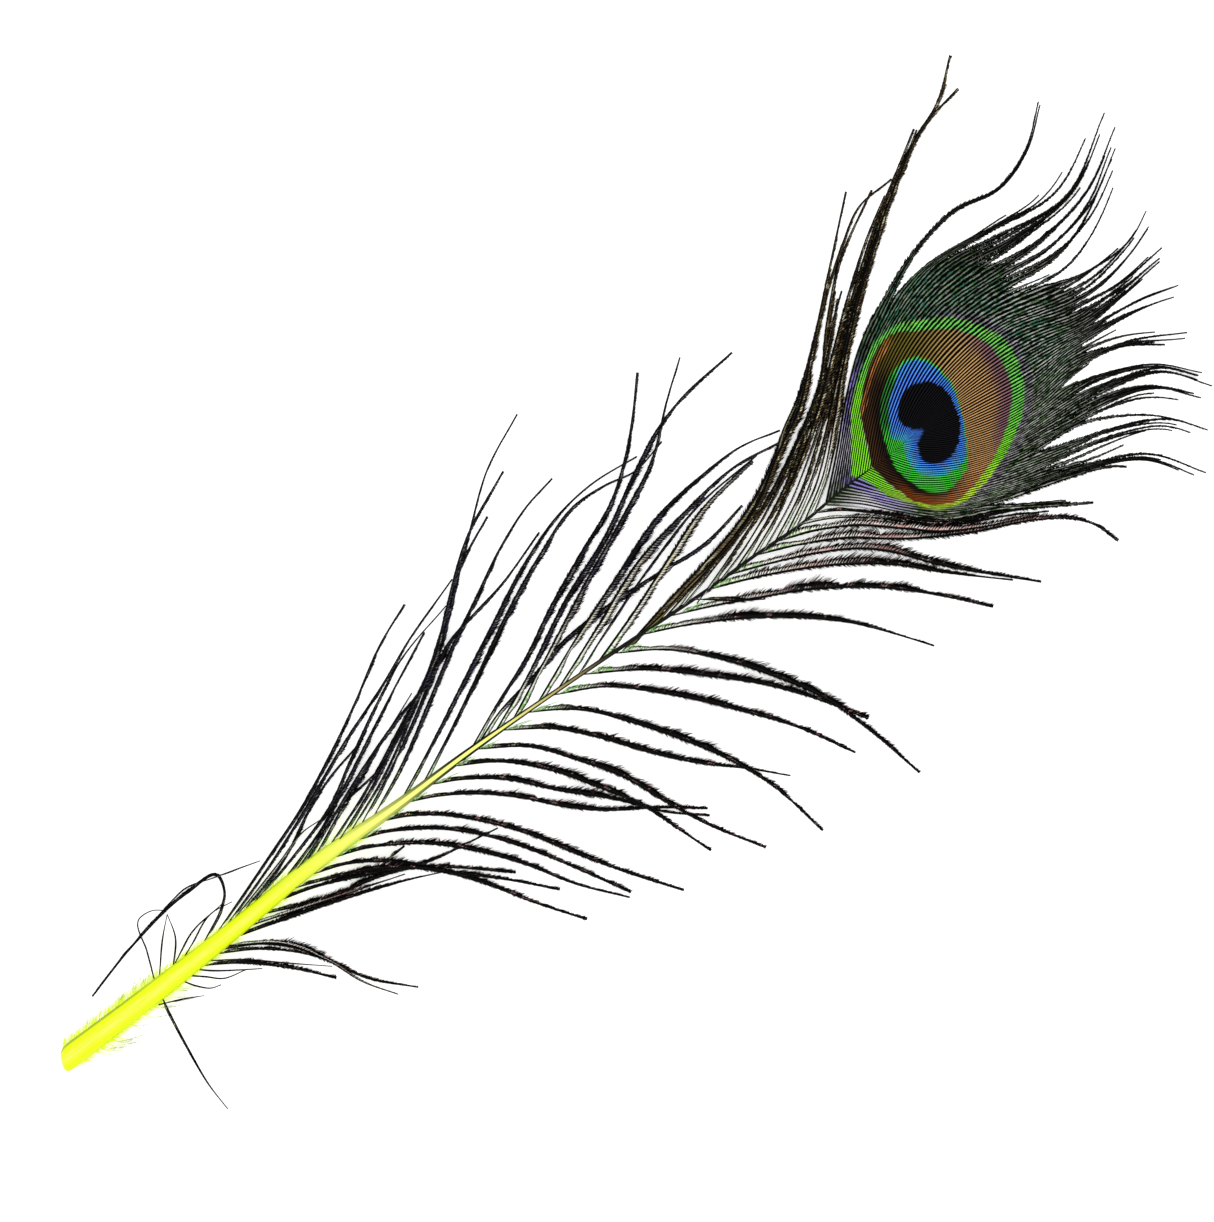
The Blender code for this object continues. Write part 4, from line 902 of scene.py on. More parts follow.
class Nodes:
    """Adds and joins the nodes of one node tree."""

    def __init__(self, tree):
        self.tree = tree

    def put(self, socket, value):
        if isinstance(value, bpy.types.NodeSocket):
            self.tree.links.new(value, socket)
        elif socket.type == "RGBA":
            socket.default_value = (*value, 1.0)
        else:
            socket.default_value = value

    def add(self, kind, inputs=None, **settings):
        node = self.tree.nodes.new(kind)
        for name, value in settings.items():
            setattr(node, name, value)
        for name, value in (inputs or {}).items():
            self.put(node.inputs[name], value)
        return node

    def values(self, *names):
        """Attributes that the mesh carries at its points."""
        return [self.add("ShaderNodeAttribute", attribute_name=name).outputs["Fac"]
                for name in names]

    def math(self, operation, *values):
        node = self.add("ShaderNodeMath", operation=operation)
        for socket, value in zip(node.inputs, values):
            self.put(socket, value)
        return node.outputs[0]

    def product(self, first, *others):
        for other in others:
            first = self.math("MULTIPLY", first, other)
        return first

    def multiply_add(self, value, by, plus):
        return self.math("MULTIPLY_ADD", value, by, plus)

    def step(self, value, low, high):
        """0 at low and 1 at high, with soft ends."""
        node = self.add("ShaderNodeMapRange", interpolation_type="SMOOTHSTEP", inputs={
            "Value": value, "From Min": low, "From Max": high})
        return node.outputs["Result"]

    def band(self, value, low, high, soft):
        """1 between low and high, 0 beyond them."""
        return self.product(self.step(value, low - soft, low + soft),
                            self.step(value, high + soft, high - soft))

    def mix(self, share, first, second):
        node = self.add("ShaderNodeMix", data_type="RGBA")
        for socket, value in zip((node.inputs[0], node.inputs[6], node.inputs[7]),
                                 (share, first, second)):
            self.put(socket, value)
        return node.outputs[2]

    def coats(self, tone, *layers):
        """Coats of colour one over the other, each with the mask that it covers."""
        for mask, coat in layers:
            tone = self.mix(mask, tone, coat)
        return tone

    def vector(self, x, y, z=0.0):
        return self.add("ShaderNodeCombineXYZ", inputs={"X": x, "Y": y, "Z": z}).outputs[0]

    def noise(self, vector, scale, detail=2.0):
        node = self.add("ShaderNodeTexNoise", inputs={
            "Vector": vector, "Scale": scale, "Detail": detail})
        return node.outputs["Fac"]

    def bump(self, shader, height, strength, distance):
        node = self.add("ShaderNodeBump", inputs={"Height": height, "Strength": strength,
                                                  "Distance": distance})
        self.put(shader.inputs["Normal"], node.outputs["Normal"])

    def group(self, name, outlet, *values):
        """Places a node group and sets its inputs in their order."""
        node = self.add("ShaderNodeGroup", node_tree=bpy.data.node_groups[name])
        for socket, value in zip(node.inputs, values):
            self.put(socket, value)
        return node.outputs[outlet]

    def lines(self, spacing, slope, wander):
        return self.group("Barbule lines", "Line", spacing, slope, wander)

    def flecks(self, length, share, softness=0.08):
        return self.group("Barb flecks", "Fleck", length, share, softness)


def new_group(name, inputs, outlet):
    """Node group with float inputs (name, default) and one float output, and its nodes."""
    tree = bpy.data.node_groups.new(name, "ShaderNodeTree")
    for label, default in inputs:
        socket = tree.interface.new_socket(label, in_out="INPUT", socket_type="NodeSocketFloat")
        socket.default_value = default
    tree.interface.new_socket(outlet, in_out="OUTPUT", socket_type="NodeSocketFloat")
    nodes = Nodes(tree)
    entry = nodes.add("NodeGroupInput").outputs
    return nodes, entry, nodes.add("NodeGroupOutput").inputs[outlet]


def barbule_lines_group():
    """Slanted lines across a barb, one for each barbule, that wander a little."""
    nodes, entry, leave = new_group(
        "Barbule lines", [("Spacing", 0.45), ("Slope", 0.6), ("Wander", 0.35)], "Line")
    along, across, strand = nodes.values("along", "across", "strand")
    lean = nodes.product(nodes.math("ABSOLUTE", across), entry["Slope"])
    spot = nodes.vector(nodes.product(along, 0.8), nodes.product(strand, 90.0))
    shift = nodes.product(nodes.noise(spot, 1.0), entry["Wander"])
    place_on_barb = nodes.math("ADD", nodes.math("SUBTRACT", along, lean), shift)
    turns = nodes.math("DIVIDE", place_on_barb, entry["Spacing"])
    wave = nodes.math("SINE", nodes.product(turns, 2 * math.pi))
    nodes.put(leave, nodes.multiply_add(wave, 0.5, 0.5))


def barb_flecks_group():
    """Flecks along a barb, different on every barb."""
    nodes, entry, leave = new_group(
        "Barb flecks", [("Length", 1.2), ("Share", 0.5), ("Softness", 0.1)], "Fleck")
    along, across, strand = nodes.values("along", "across", "strand")
    spot = nodes.vector(nodes.math("DIVIDE", along, entry["Length"]),
                        nodes.product(across, 1.4), nodes.product(strand, 130.0))
    low = nodes.math("SUBTRACT", entry["Share"], entry["Softness"])
    high = nodes.math("ADD", entry["Share"], entry["Softness"])
    nodes.put(leave, nodes.step(nodes.noise(spot, 1.0, 3.0), low, high))


def eye_side_group():
    """One side of the eye, seen from its centre."""
    nodes, entry, leave = new_group(
        "Eye side", [("Bearing", 0.0), ("Half width", 40.0), ("Softness", 15.0)], "Side")
    angle = nodes.math("DEGREES", nodes.math("ARCTAN2", *nodes.values("leftward", "tipward")))
    turn = nodes.math("WRAP", nodes.math("SUBTRACT", angle, entry["Bearing"]), 180.0, -180.0)
    near = nodes.math("SUBTRACT", entry["Half width"], entry["Softness"])
    far = nodes.math("ADD", entry["Half width"], entry["Softness"])
    nodes.put(leave, nodes.step(nodes.math("ABSOLUTE", turn), far, near))


def make_groups():
    """Effects that several materials share."""
    barbule_lines_group()
    barb_flecks_group()
    eye_side_group()


def new_material(name, roughness, specular, helper=Nodes):
    """Material with its node helper and its shader."""
    material = bpy.data.materials.new(name)
    material.use_nodes = True
    shader = material.node_tree.nodes["Principled BSDF"]
    shader.inputs["Roughness"].default_value = roughness
    shader.inputs["Specular IOR Level"].default_value = specular
    return material, helper(material.node_tree), shader


# ---------------------------------------------------------------- materials

def quill_material(colours):
    """Dyed yellow, fading paler along the shaft, with a painted highlight down the middle and painted
    shade at the sides, olive on one side, then gold, then black into the eye.
    """
    material, nodes, shader = new_material("Dyed quill", 0.45, 0.12)
    along, across = nodes.values("along", "across")
    away = nodes.math("ABSOLUTE", across)
    grain = nodes.noise(nodes.vector(nodes.product(along, 0.12), nodes.product(across, 6.0)),
                        1.0, 3.0)

    def uneven_border(reach, unevenness):
        return nodes.step(nodes.multiply_add(grain, unevenness, along), *reach)

    # Painted highlight: a streaky paler band along the top middle of the round quill
    middle = nodes.product(nodes.step(away, 0.7, 0.0),
                           nodes.product(nodes.step(grain, 0.2, 0.8), 0.5))
    # The dye's own fading, paler further along the shaft, in the same colour
    faded = nodes.product(nodes.step(along, *QUILL_FADE), 0.8)
    tone = nodes.coats(
        colours.quill,
        (nodes.math("MAXIMUM", middle, faded), colours.quill_highlight_and_fade),
        # Painted shade along both sides of the quill
        (nodes.step(nodes.multiply_add(grain, 0.12, away), 0.84, 1.0), colours.quill_edge_shade),
        # Painted shade on one side of the quill near the cut end
        (nodes.product(nodes.step(across, 0.7, 0.9), nodes.step(along, *QUILL_SHADE)),
         colours.quill_shade),
        (uneven_border(SHAFT_GOLD, 12.0), colours.shaft_gold),
        (nodes.product(nodes.step(away, 0.3, 0.52), nodes.step(along, *SHAFT_RIM)),
         colours.shaft_dark),
        (uneven_border(SHAFT_DARK, 16.0), colours.shaft_dark),
        (nodes.step(along, *SHAFT_BLUE), colours.shaft_end))
    nodes.put(shader.inputs["Base Color"], tone)
    nodes.bump(shader, grain, 0.25, 0.0003)
    return material


def down_material(colours):
    """Dyed yellow with a painted glow in its own colour for light scattered through the hairs, olive
    at the tips of the longer hairs.
    """
    material, nodes, shader = new_material("Down", 0.7, 0.2)
    along, reach = nodes.values("along", "strand")
    tip = nodes.product(nodes.step(along, 0.1, 0.8), nodes.step(reach, 0.9, 2.2))
    tone = nodes.mix(tip, colours.down, colours.down_tip)
    nodes.put(shader.inputs["Base Color"], tone)
    # Painted glow: the hairs give off a little of their own colour, standing in for light scattered
    # through them
    nodes.put(shader.inputs["Emission Color"], tone)
    shader.inputs["Emission Strength"].default_value = DOWN_PAINTED_GLOW
    return material


def barb_material(name, colours, look):
    """Dark ramus, and a fringe of slanted dark lines over a ground that is pale at first."""
    material, nodes, shader = new_material(name, 0.55, 0.06)
    along, across, strand = nodes.values("along", "across", "strand")
    line = nodes.lines(0.6, 1.1, 1.1)
    sparse = nodes.flecks(1.8, 0.59, 0.06)
    wide = nodes.flecks(6.0, 0.5, 0.12)

    # Ground: pale over the first stretch, further along the barbs nearer the eye
    far = nodes.multiply_add(nodes.math("POWER", strand, 6.0), look.pale_more, look.pale)
    near_root = nodes.step(along, far, nodes.product(far, 0.35))
    light = nodes.mix(nodes.product(wide, nodes.step(along, 8.0, 24.0)), look.ground, look.blush)
    glint = nodes.product(sparse, nodes.math("MAXIMUM", nodes.step(along, 20.0, 8.0), look.glint))
    green = nodes.product(nodes.flecks(0.6, 0.52, 0.04),
                          nodes.product(nodes.step(along, 12.0, 4.0), look.green))
    ground = nodes.coats(look.tint, (glint, look.blush), (near_root, light),
                         (green, colours.barb_green))

    # Dark cover: barbule lines, the tufted rim and the ramus
    cover = look.cover
    for mask, less in ((near_root, -0.7), (nodes.step(along, 12.0, 5.0), -0.35), (wide, -0.3),
                       (sparse, -0.5)):
        cover = nodes.multiply_add(mask, less, cover)
    dark = nodes.step(nodes.math("ADD", line, cover), 0.85, 1.15)
    rim = nodes.product(nodes.step(across, 0.66, 0.8), nodes.step(line, 0.05, 0.4))
    ramus = nodes.step(across, 0.46, 0.34)
    dark = nodes.math("MAXIMUM", nodes.math("MAXIMUM", dark, rim), ramus)
    nodes.put(shader.inputs["Base Color"], nodes.mix(dark, ground, colours.barb))
    return material


class EyeNodes(Nodes):
    """Nodes of the eye's material, with the masks that all its zones use.

    Depth is 1 at the outside of the green ring, 2 at its inside, 3 at the iris and 4 at the heart.
    """

    def __init__(self, tree):
        super().__init__(tree)
        self.along, across, self.strand, self.depth = self.values("along", "across", "strand",
                                                                  "depth")
        self.line = self.lines(0.5, 0.35, 0.3)
        self.behind = self.side("shaft")
        # Painted highlight along the ridge of each barb, smooth inside the ring and broken up outside
        # it
        rough = self.product(self.deep(2.1, 0.9), self.multiply_add(self.behind, -0.85, 1.0))
        broken = self.math("SUBTRACT", self.flecks(1.1, 0.5, 0.2), 0.5)
        self.reach = self.multiply_add(broken, self.multiply_add(rough, 0.45, 0.1),
                                       self.math("ABSOLUTE", across))
        self.rib = self.step(self.reach, 0.42, 0.1)

    def side(self, name):
        return self.group("Eye side", "Side", *EYE_SIDES[name])

    def deep(self, low, high):
        return self.step(self.depth, low, high)


def outer_band(nodes, colours):
    """Dark with olive flecks and flecks of painted highlight, teal at the top, mauve and lilac at the
    ring.
    """
    fewer = nodes.multiply_add(nodes.side("few lines"), -0.6, 1.0)
    violet_sides = nodes.math("MAXIMUM", nodes.side("violet left"), nodes.side("violet foot"))
    near_ring = nodes.product(nodes.band(nodes.depth, 0.74, 1.0, 0.06), nodes.flecks(3.0, 0.45))
    return nodes.coats(
        colours.tip,
        (nodes.flecks(1.6, 0.56), colours.tip_brown),
        (nodes.product(nodes.flecks(0.8, 0.49), nodes.deep(-1.1, 0.4)), colours.olive),
        (nodes.product(nodes.flecks(1.4, 0.5), nodes.deep(-0.6, 0.3), nodes.side("teal band")),
         colours.teal),
        # Painted highlight in flecks along the barbs' ridges, fewer on one side
        (nodes.product(nodes.flecks(2.2, 0.5), nodes.rib, nodes.deep(-1.8, 0.2), fewer),
         colours.pale_highlight),
        (nodes.product(nodes.deep(0.7, 0.95), nodes.flecks(0.6, 0.46), nodes.side("mauve band")),
         colours.mauve),
        (nodes.product(nodes.deep(0.0, 0.5), nodes.behind, nodes.step(nodes.along, 0.0, 7.0)),
         colours.lilac),
        (nodes.product(nodes.side("dark band"), 0.7), colours.tip),
        (nodes.product(near_ring, violet_sides), colours.violet_blue))


def green_ring(nodes, colours):
    """Green, lime on the left, yellow at the foot, with teal flecks and a yellower painted highlight
    along each barb's ridge.
    """
    lime = nodes.math("MAXIMUM", nodes.side("lime ring"), nodes.side("lime foot"))
    ring = nodes.coats(
        colours.ring,
        (lime, colours.ring_lime),
        (nodes.side("yellow ring"), colours.ring_yellow),
        (nodes.product(nodes.side("teal ring"), nodes.flecks(1.2, 0.55)), colours.teal))
    # Painted highlight along the barbs' ridges, tinted towards yellow
    return nodes.mix(nodes.rib, ring, nodes.mix(0.38, ring, colours.ring_yellow))


def bronze_field(nodes, colours):
    """Bronze, darker to the left, olive at the top, orange at the foot, violet on the right."""
    shaded = nodes.mix(nodes.deep(2.3, 2.9), colours.bronze_dark, colours.bronze_shadow)
    field = nodes.coats(
        colours.bronze,
        (nodes.side("dark bronze"), shaded),
        (nodes.side("olive bronze"), colours.bronze_olive),
        (nodes.product(nodes.side("orange bronze"), nodes.deep(2.8, 2.4)), colours.bronze_orange))
    # Painted highlight: the field lightened towards pale tan, for the barbs' ridges
    highlit = nodes.mix(0.8, field, colours.bronze_highlight)
    streaks = nodes.product(nodes.band(nodes.depth, 2.06, 2.34, 0.05), nodes.side("streaks"),
                            nodes.flecks(7.0, 0.52, 0.03), nodes.step(nodes.reach, 0.6, 0.4))
    return nodes.coats(
        field,
        # Painted highlight along the barbs' ridges on one side of the field
        (nodes.product(nodes.rib, nodes.side("highlit bronze")), highlit),
        (nodes.product(nodes.deep(2.42, 2.12), nodes.side("violet edge"), 0.8), colours.violet),
        (streaks, colours.streak))


def blue_iris(nodes, colours):
    """A green rim that is wider on the left and at the foot, with blue and cyan inside it."""
    left, foot = nodes.side("iris left"), nodes.side("iris foot")
    wider = nodes.multiply_add(foot, 0.42, nodes.product(left, 0.4))
    inner = nodes.math("SUBTRACT", nodes.depth, wider)
    # Painted highlight in lime along the barbs' ridges in the green rim
    lime = nodes.product(nodes.rib, nodes.multiply_add(left, -0.4, 0.6))
    green = nodes.coats(colours.iris_green, (left, colours.iris_teal), (lime, colours.ring_lime))
    blue = nodes.coats(
        colours.iris_blue,
        (nodes.deep(3.8, 3.25), colours.iris_sky),
        (nodes.product(foot, nodes.deep(3.9, 3.6)), colours.iris_cyan),
        # Painted highlight along the barbs' ridges in the blue
        (nodes.product(nodes.rib, 0.75), colours.iris_highlight))
    return nodes.mix(nodes.step(inner, 3.02, 3.2), green, blue)


def gap_shade(nodes):
    """Painted shade in the gaps between the barbs, and in the pale corner every other barb dark
    instead.
    """
    behind = nodes.multiply_add(nodes.behind, 0.2, 0.08)
    outer = nodes.product(nodes.deep(1.02, 0.98), behind)
    gap = nodes.step(nodes.math("ADD", nodes.reach, outer), 0.32, 0.48)
    corner = nodes.product(nodes.side("pale corner"), nodes.deep(1.05, 0.95))
    every_other = nodes.step(nodes.strand, 0.49, 0.51)
    return nodes.multiply_add(corner, nodes.math("SUBTRACT", every_other, gap), gap)


def eye_material(colours):
    """Zones of the eye by depth, varied by side, with a painted highlight along each barb's ridge and
    painted shade in the gaps between the barbs.
    """
    material, nodes, shader = new_material("Eye barbs", 0.42, 0.08, EyeNodes)
    tone = nodes.coats(
        outer_band(nodes, colours),
        (nodes.band(nodes.depth, 1.0, 2.0, 0.07), green_ring(nodes, colours)),
        (nodes.deep(1.93, 2.07), bronze_field(nodes, colours)),
        (nodes.deep(2.94, 3.06), blue_iris(nodes, colours)),
        (nodes.product(nodes.flecks(14.0, 0.5, 0.3), 0.35), colours.tip),
        (nodes.product(nodes.line, 0.25), colours.gap),
        # Painted shade in the gaps between the barbs
        (gap_shade(nodes), colours.gap),
        (nodes.deep(3.92, 4.04), colours.heart))
    nodes.put(shader.inputs["Base Color"], tone)
    nodes.bump(shader, nodes.line, 0.3, 0.0001)
    return material


def floor_material(studio):
    """Near-white, faintly clouded, lit a little from within like a light table."""
    material, nodes, shader = new_material("Studio floor", 0.9, 0.1)
    spot = nodes.add("ShaderNodeTexCoord").outputs["Object"]
    low = tuple(c * 0.985 for c in studio.floor)
    nodes.put(shader.inputs["Base Color"], nodes.mix(nodes.noise(spot, 3.0), low, studio.floor))
    shader.inputs["Emission Color"].default_value = (1.0, 1.0, 1.0, 1.0)
    shader.inputs["Emission Strength"].default_value = studio.floor_glow
    return material


# ---------------------------------------------------------------- loose barbs

def tuft_numbers(count, spacing, rng):
    """Which tuft each of a row of barbules belongs to, in tufts of uneven length."""
    return np.cumsum(rng.random(count) < spacing / TUFT_LENGTH)


def add_fringe(fibres, start, out, height, along, reach, across, sizes, rng,
               begin=FRINGE_BEGIN):
    """Barbules along one edge of a barb: start, out and reach are given at every station."""
    spacing = sizes.barbule_spacing / MM
    spots = np.arange(begin, along[-1] - BARE_TIP, spacing)
    count = len(spots)
    if count < 2:
        return
    spots = spots + rng.uniform(-BARBULE_JITTER, BARBULE_JITTER, count) * spacing
    outward = units(between(spots, along, out))
    run = units(between(spots, along, np.gradient(start, axis=0)))
    roots = between(spots, along, start) - outward * BARBULE_INSET
    roots = np.column_stack([roots, np.interp(spots, along, height)])
    tufts = tuft_numbers(count, spacing, rng)
    taller = rng.uniform(*TUFT_HEIGHTS, tufts[-1] + 1)[tufts]
    lengths = np.interp(spots, along, reach) * taller * rng.uniform(*BARBULE_LENGTHS, count)
    slant = sizes.barbule_slant * rng.uniform(*BARBULE_SLANTS, count)
    fibres.barbules(roots, run, outward, lengths, slant, sizes.barbule_width / MM, spots,
                    across, rng.random(count), tufts)


def barb_stations(route):
    """Plan points of a barb from inside the shaft to its tip, and the length that is inside."""
    curve = smooth_curve(place(route))
    points = even_points(curve, max(BARB_FEWEST_STEPS, round(steps_of(curve).sum() / BARB_STEP)))
    inward = points[0] - points[1]
    inward /= np.linalg.norm(inward)
    slope = max(abs(inward[1]), LEAST_ROOT_SLOPE)
    buried = min(nearest_on_shaft(points[:1])[0][0] / slope, DEEPEST_ROOT)
    return np.vstack([points[0] + inward * buried, points]), buried


def fringe_fullness(along, buried, swell, rng):
    """Share of its full width that a fringe has along its barb."""
    share = along / along[-1]
    knots = np.arange(0, along[-1] + KNOT_MARGIN, KNOT_SPACING)
    wobble = np.interp(along, knots, rng.normal(1.0, WOBBLE, len(knots)))
    blunt = rng.uniform(*BLUNTNESS)
    taper = 1.0 - (1.0 - blunt) * ease(share, HALFWAY, TAPER_RUN)
    return ease(along, buried, ROOT_OPENING) * taper * wobble * swell


def add_loose_barb(fibres, route, sizes, rng, piece, node, fullness, place_share):
    """Smooth ramus with a fringe on one side: closed near the root, loose barbules beyond."""
    points, buried = barb_stations(route)
    height = height_in_solid(node, points) if node else surface_height(points) + THIN_BARB_LIFT
    along = lengths_along(points)
    share = along / along[-1]
    side = sides_of(points) * piece.side
    swelling = ease(share, piece.swell[0], piece.swell[1] - piece.swell[0])
    swell = fullness[0] + (fullness[1] - fullness[0]) * swelling
    full = fringe_fullness(along, buried, swell, rng)
    loosened = ease(along, FRINGE_CLOSED, FRINGE_OPENING)
    fringe = sizes.fringe_width / MM * (1.0 - FRINGE_LOSS * loosened) * full + FRINGE_LEAST
    ramus = sizes.ramus_width / MM / 2 * (1.0 - RAMUS_LOSS * ease(share, HALFWAY, HALFWAY))
    ramus = ramus * (RAMUS_SHARES[0] + RAMUS_SHARES[1] * np.minimum(swell, 1.0))
    bare = points - side * ramus[:, None]
    fringed = points + side * fringe[:, None]
    if piece.side > 0:
        left, right, across = fringed, bare, ACROSS_FRINGE_LEFT
    else:
        left, right, across = bare, fringed, ACROSS_FRINGE_RIGHT
    strand = min(place_share + STRAND_SPREAD * rng.random(), 1.0)
    fibres.strip(points, left, right, height + BARB_RIDGE, BARB_ROOF, BARB_DEPTH, along,
                 strand, across)
    reach = sizes.barbule_length / MM * (CLOSED_REACH[0] + CLOSED_REACH[1] * loosened)
    reach = reach * np.clip(full, *FULL_LIMITS) * piece.hair
    add_fringe(fibres, fringed, side, height, along, reach, 1.0, sizes, rng)
    add_fringe(fibres, bare, -side, height, along, reach * SPARE_SIDE, 0.0, sizes, rng)


def add_whiskers(fibres, route, rng):
    """A few short hairs in the corner between a barb and the shaft."""
    start, beyond = place(route[:2])
    run = (beyond - start) / np.linalg.norm(beyond - start)
    s = np.linspace(0.0, 1.0, HAIR_STATIONS)
    for _ in range(WHISKERS):
        root = start + run * rng.uniform(0.0, WHISKER_SPREAD)
        reach = rng.uniform(*WHISKER_LENGTH)
        bend = rng.uniform(*WHISKER_BEND)
        plan = root + np.outer(reach * s, [1.0, 0.0]) + np.outer(bend * reach * s**2, run)
        path = np.column_stack([plan, surface_height(plan) + WHISKER_LIFT])
        fibres.hair(path, *WHISKER_RADII, s, WHISKER_STRAND, WHISKER_TONE)


def build_loose_barbs(piece, colours, sizes):
    """One object of a group of loose barbs, thin ones among them."""
    rng = np.random.default_rng([sizes.seed, piece.seed])
    fibres = Fibres()
    first, last = np.array(piece.first), np.array(piece.last)
    for k, (route, node) in enumerate(zip(piece.routes, piece.nodes)):
        share = k / max(len(piece.routes) - 1, 1)
        full = first + (last - first) * share**2
        add_loose_barb(fibres, route, sizes, rng, piece, node, full, share)
        if piece.whiskers[0] <= k < piece.whiskers[1]:
            add_whiskers(fibres, route, rng)
    for route in piece.thin_routes:
        add_loose_barb(fibres, route, sizes, rng, piece, None, piece.thin, rng.random())
    title = piece.name.replace("_", " ").capitalize()
    fibres.build(piece.name, barb_material(title, colours, piece.look), piece.nodes)


def numbered(group, first, last):
    return [f"{group}_{k:02d}" for k in range(first, last + 1)]


class BarbLook(NamedTuple):
    """Colours of a fringe and how strong each of them is.

    The pale ground reaches as far as pale, and by pale_more further on the group's last barb.
    green, cover and glint are the green flecks, the dark lines and the light flecks beyond it.
    """

    tint: tuple
    ground: tuple
    blush: tuple
    pale: float
    pale_more: float
    green: float
    cover: float
    glint: float


class BarbPiece(NamedTuple):
    """A group of loose barbs that makes one object, with its fringes on one side.

    first, last and thin are the fullness of the fringe at the root and along the barb, for the
    group's first barb, its last barb and the thin ones between them.  It grows from the one to the
    other between the shares of the barb's length in swell.  hair is the length of the barbules,
    and whiskers are the numbers of the first barb with whiskers and of the one after the last.
    """

    name: str
    nodes: list
    routes: list
    thin_routes: list
    side: int
    seed: int
    first: tuple
    last: tuple
    thin: tuple
    hair: float
    look: BarbLook
    slot: str = "barb"
    whiskers: tuple = (0, 0)
    swell: tuple = (0.05, 0.4)


def barb_pieces(colours):
    """The groups of loose barbs, in the order in which they are built."""
    pink, cream = colours.pink_blush, colours.cream_blush
    right = BarbLook(tint=colours.right_tint, ground=colours.barb_pale, blush=pink, pale=3.4,
                     pale_more=80.0, green=0.9, cover=1.4, glint=0.5)
    left = BarbLook(tint=colours.left_tint, ground=colours.barb_pale, blush=cream, pale=4.5,
                    pale_more=60.0, green=0.9, cover=1.1, glint=0.3)
    crest = BarbLook(tint=colours.brown, ground=colours.barb_pale, blush=cream, pale=10.0,
                     pale_more=26.0, green=0.6, cover=0.98, glint=1.0)
    brown = BarbLook(tint=colours.brown, ground=colours.brown, blush=cream, pale=80.0,
                     pale_more=0.0, green=0.3, cover=1.05, glint=1.0)
    stray = BarbLook(tint=colours.left_tint, ground=colours.left_tint, blush=cream, pale=0.1,
                     pale_more=0.0, green=0.0, cover=1.3, glint=0.0)
    return (
        BarbPiece("right_barbs", numbered("right_barb", 1, 25), RIGHT_ROUTES, RIGHT_THIN_ROUTES,
                  side=1, seed=1, first=(0.4, 0.7), last=(0.9, 1.3), thin=(0.35, 0.5), hair=1.05,
                  look=right, whiskers=(7, 22)),
        BarbPiece("left_barbs", numbered("left_barb", 1, 20), LEFT_ROUTES, LEFT_THIN_ROUTES,
                  side=-1, seed=2, first=(0.25, 0.52), last=(0.75, 1.2), thin=(0.2, 0.35),
                  hair=0.6, look=left),
        BarbPiece("crest_barbs", numbered("crest_barb", 2, 8), CREST_ROUTES, CREST_THIN_ROUTES,
                  side=-1, seed=3, first=(0.5, 0.95), last=(0.45, 0.9), thin=(0.15, 0.6),
                  hair=0.7, look=crest, swell=(0.18, 0.46)),
        BarbPiece("brown_strand", numbered("crest_barb", 1, 1), BROWN_ROUTES, BROWN_THIN_ROUTES,
                  side=-1, seed=4, first=(0.8, 1.5), last=(0.8, 1.5), thin=(0.3, 0.7), hair=0.9,
                  look=brown, slot="brown_barb"),
        BarbPiece("stray_strands", numbered("stray_barb", 1, 2), STRAY_ROUTES, STRAY_HAIR_ROUTES,
                  side=-1, seed=6, first=(0.3, 0.3), last=(0.3, 0.5), thin=(0.1, 0.1), hair=0.4,
                  look=stray),
    )


# ---------------------------------------------------------------- eye

def eye_lines(count):
    """Middle lines of the eye's barbs, an array (count, stations, 2), and their places."""
    guides = np.stack([even_points(smooth_curve(place(route)), EYE_STATIONS - 1)
                       for route in EYE_ROUTES])
    spread = np.interp(np.linspace(0.0, 1.0, count), *zip(*EYE_SHARE))
    low = np.minimum(spread.astype(int), len(guides) - 2)
    share = (spread - low)[:, None, None]
    return guides[low] * (1 - share) + guides[low + 1] * share, spread


def numbered_locks(count, limits, rng):
    """Number of the lock that each of a row of barbs belongs to."""
    ends_at = np.cumsum(rng.integers(limits[0], limits[1] + 1, count))
    return np.searchsorted(ends_at, np.arange(count), side="right")


def for_locks(lock, limits, rng):
    """A chance value between the limits for each lock, given to all its barbs."""
    return rng.uniform(*limits, lock[-1] + 1)[lock]


def leaders_of(lock, lengths):
    """The longest barb of each lock."""
    members = [np.flatnonzero(lock == k) for k in range(lock[-1] + 1)]
    return np.array([group[lengths[group].argmax()] for group in members])


def drawn_together(lines, leaders, amount, t, start, run):
    """Lines drawn to their leaders by their amount, from start over a run of their length."""
    gather = amount[:, None] * ease(t[None, :], start, run)
    return lines - (lines - leaders) * gather[..., None]


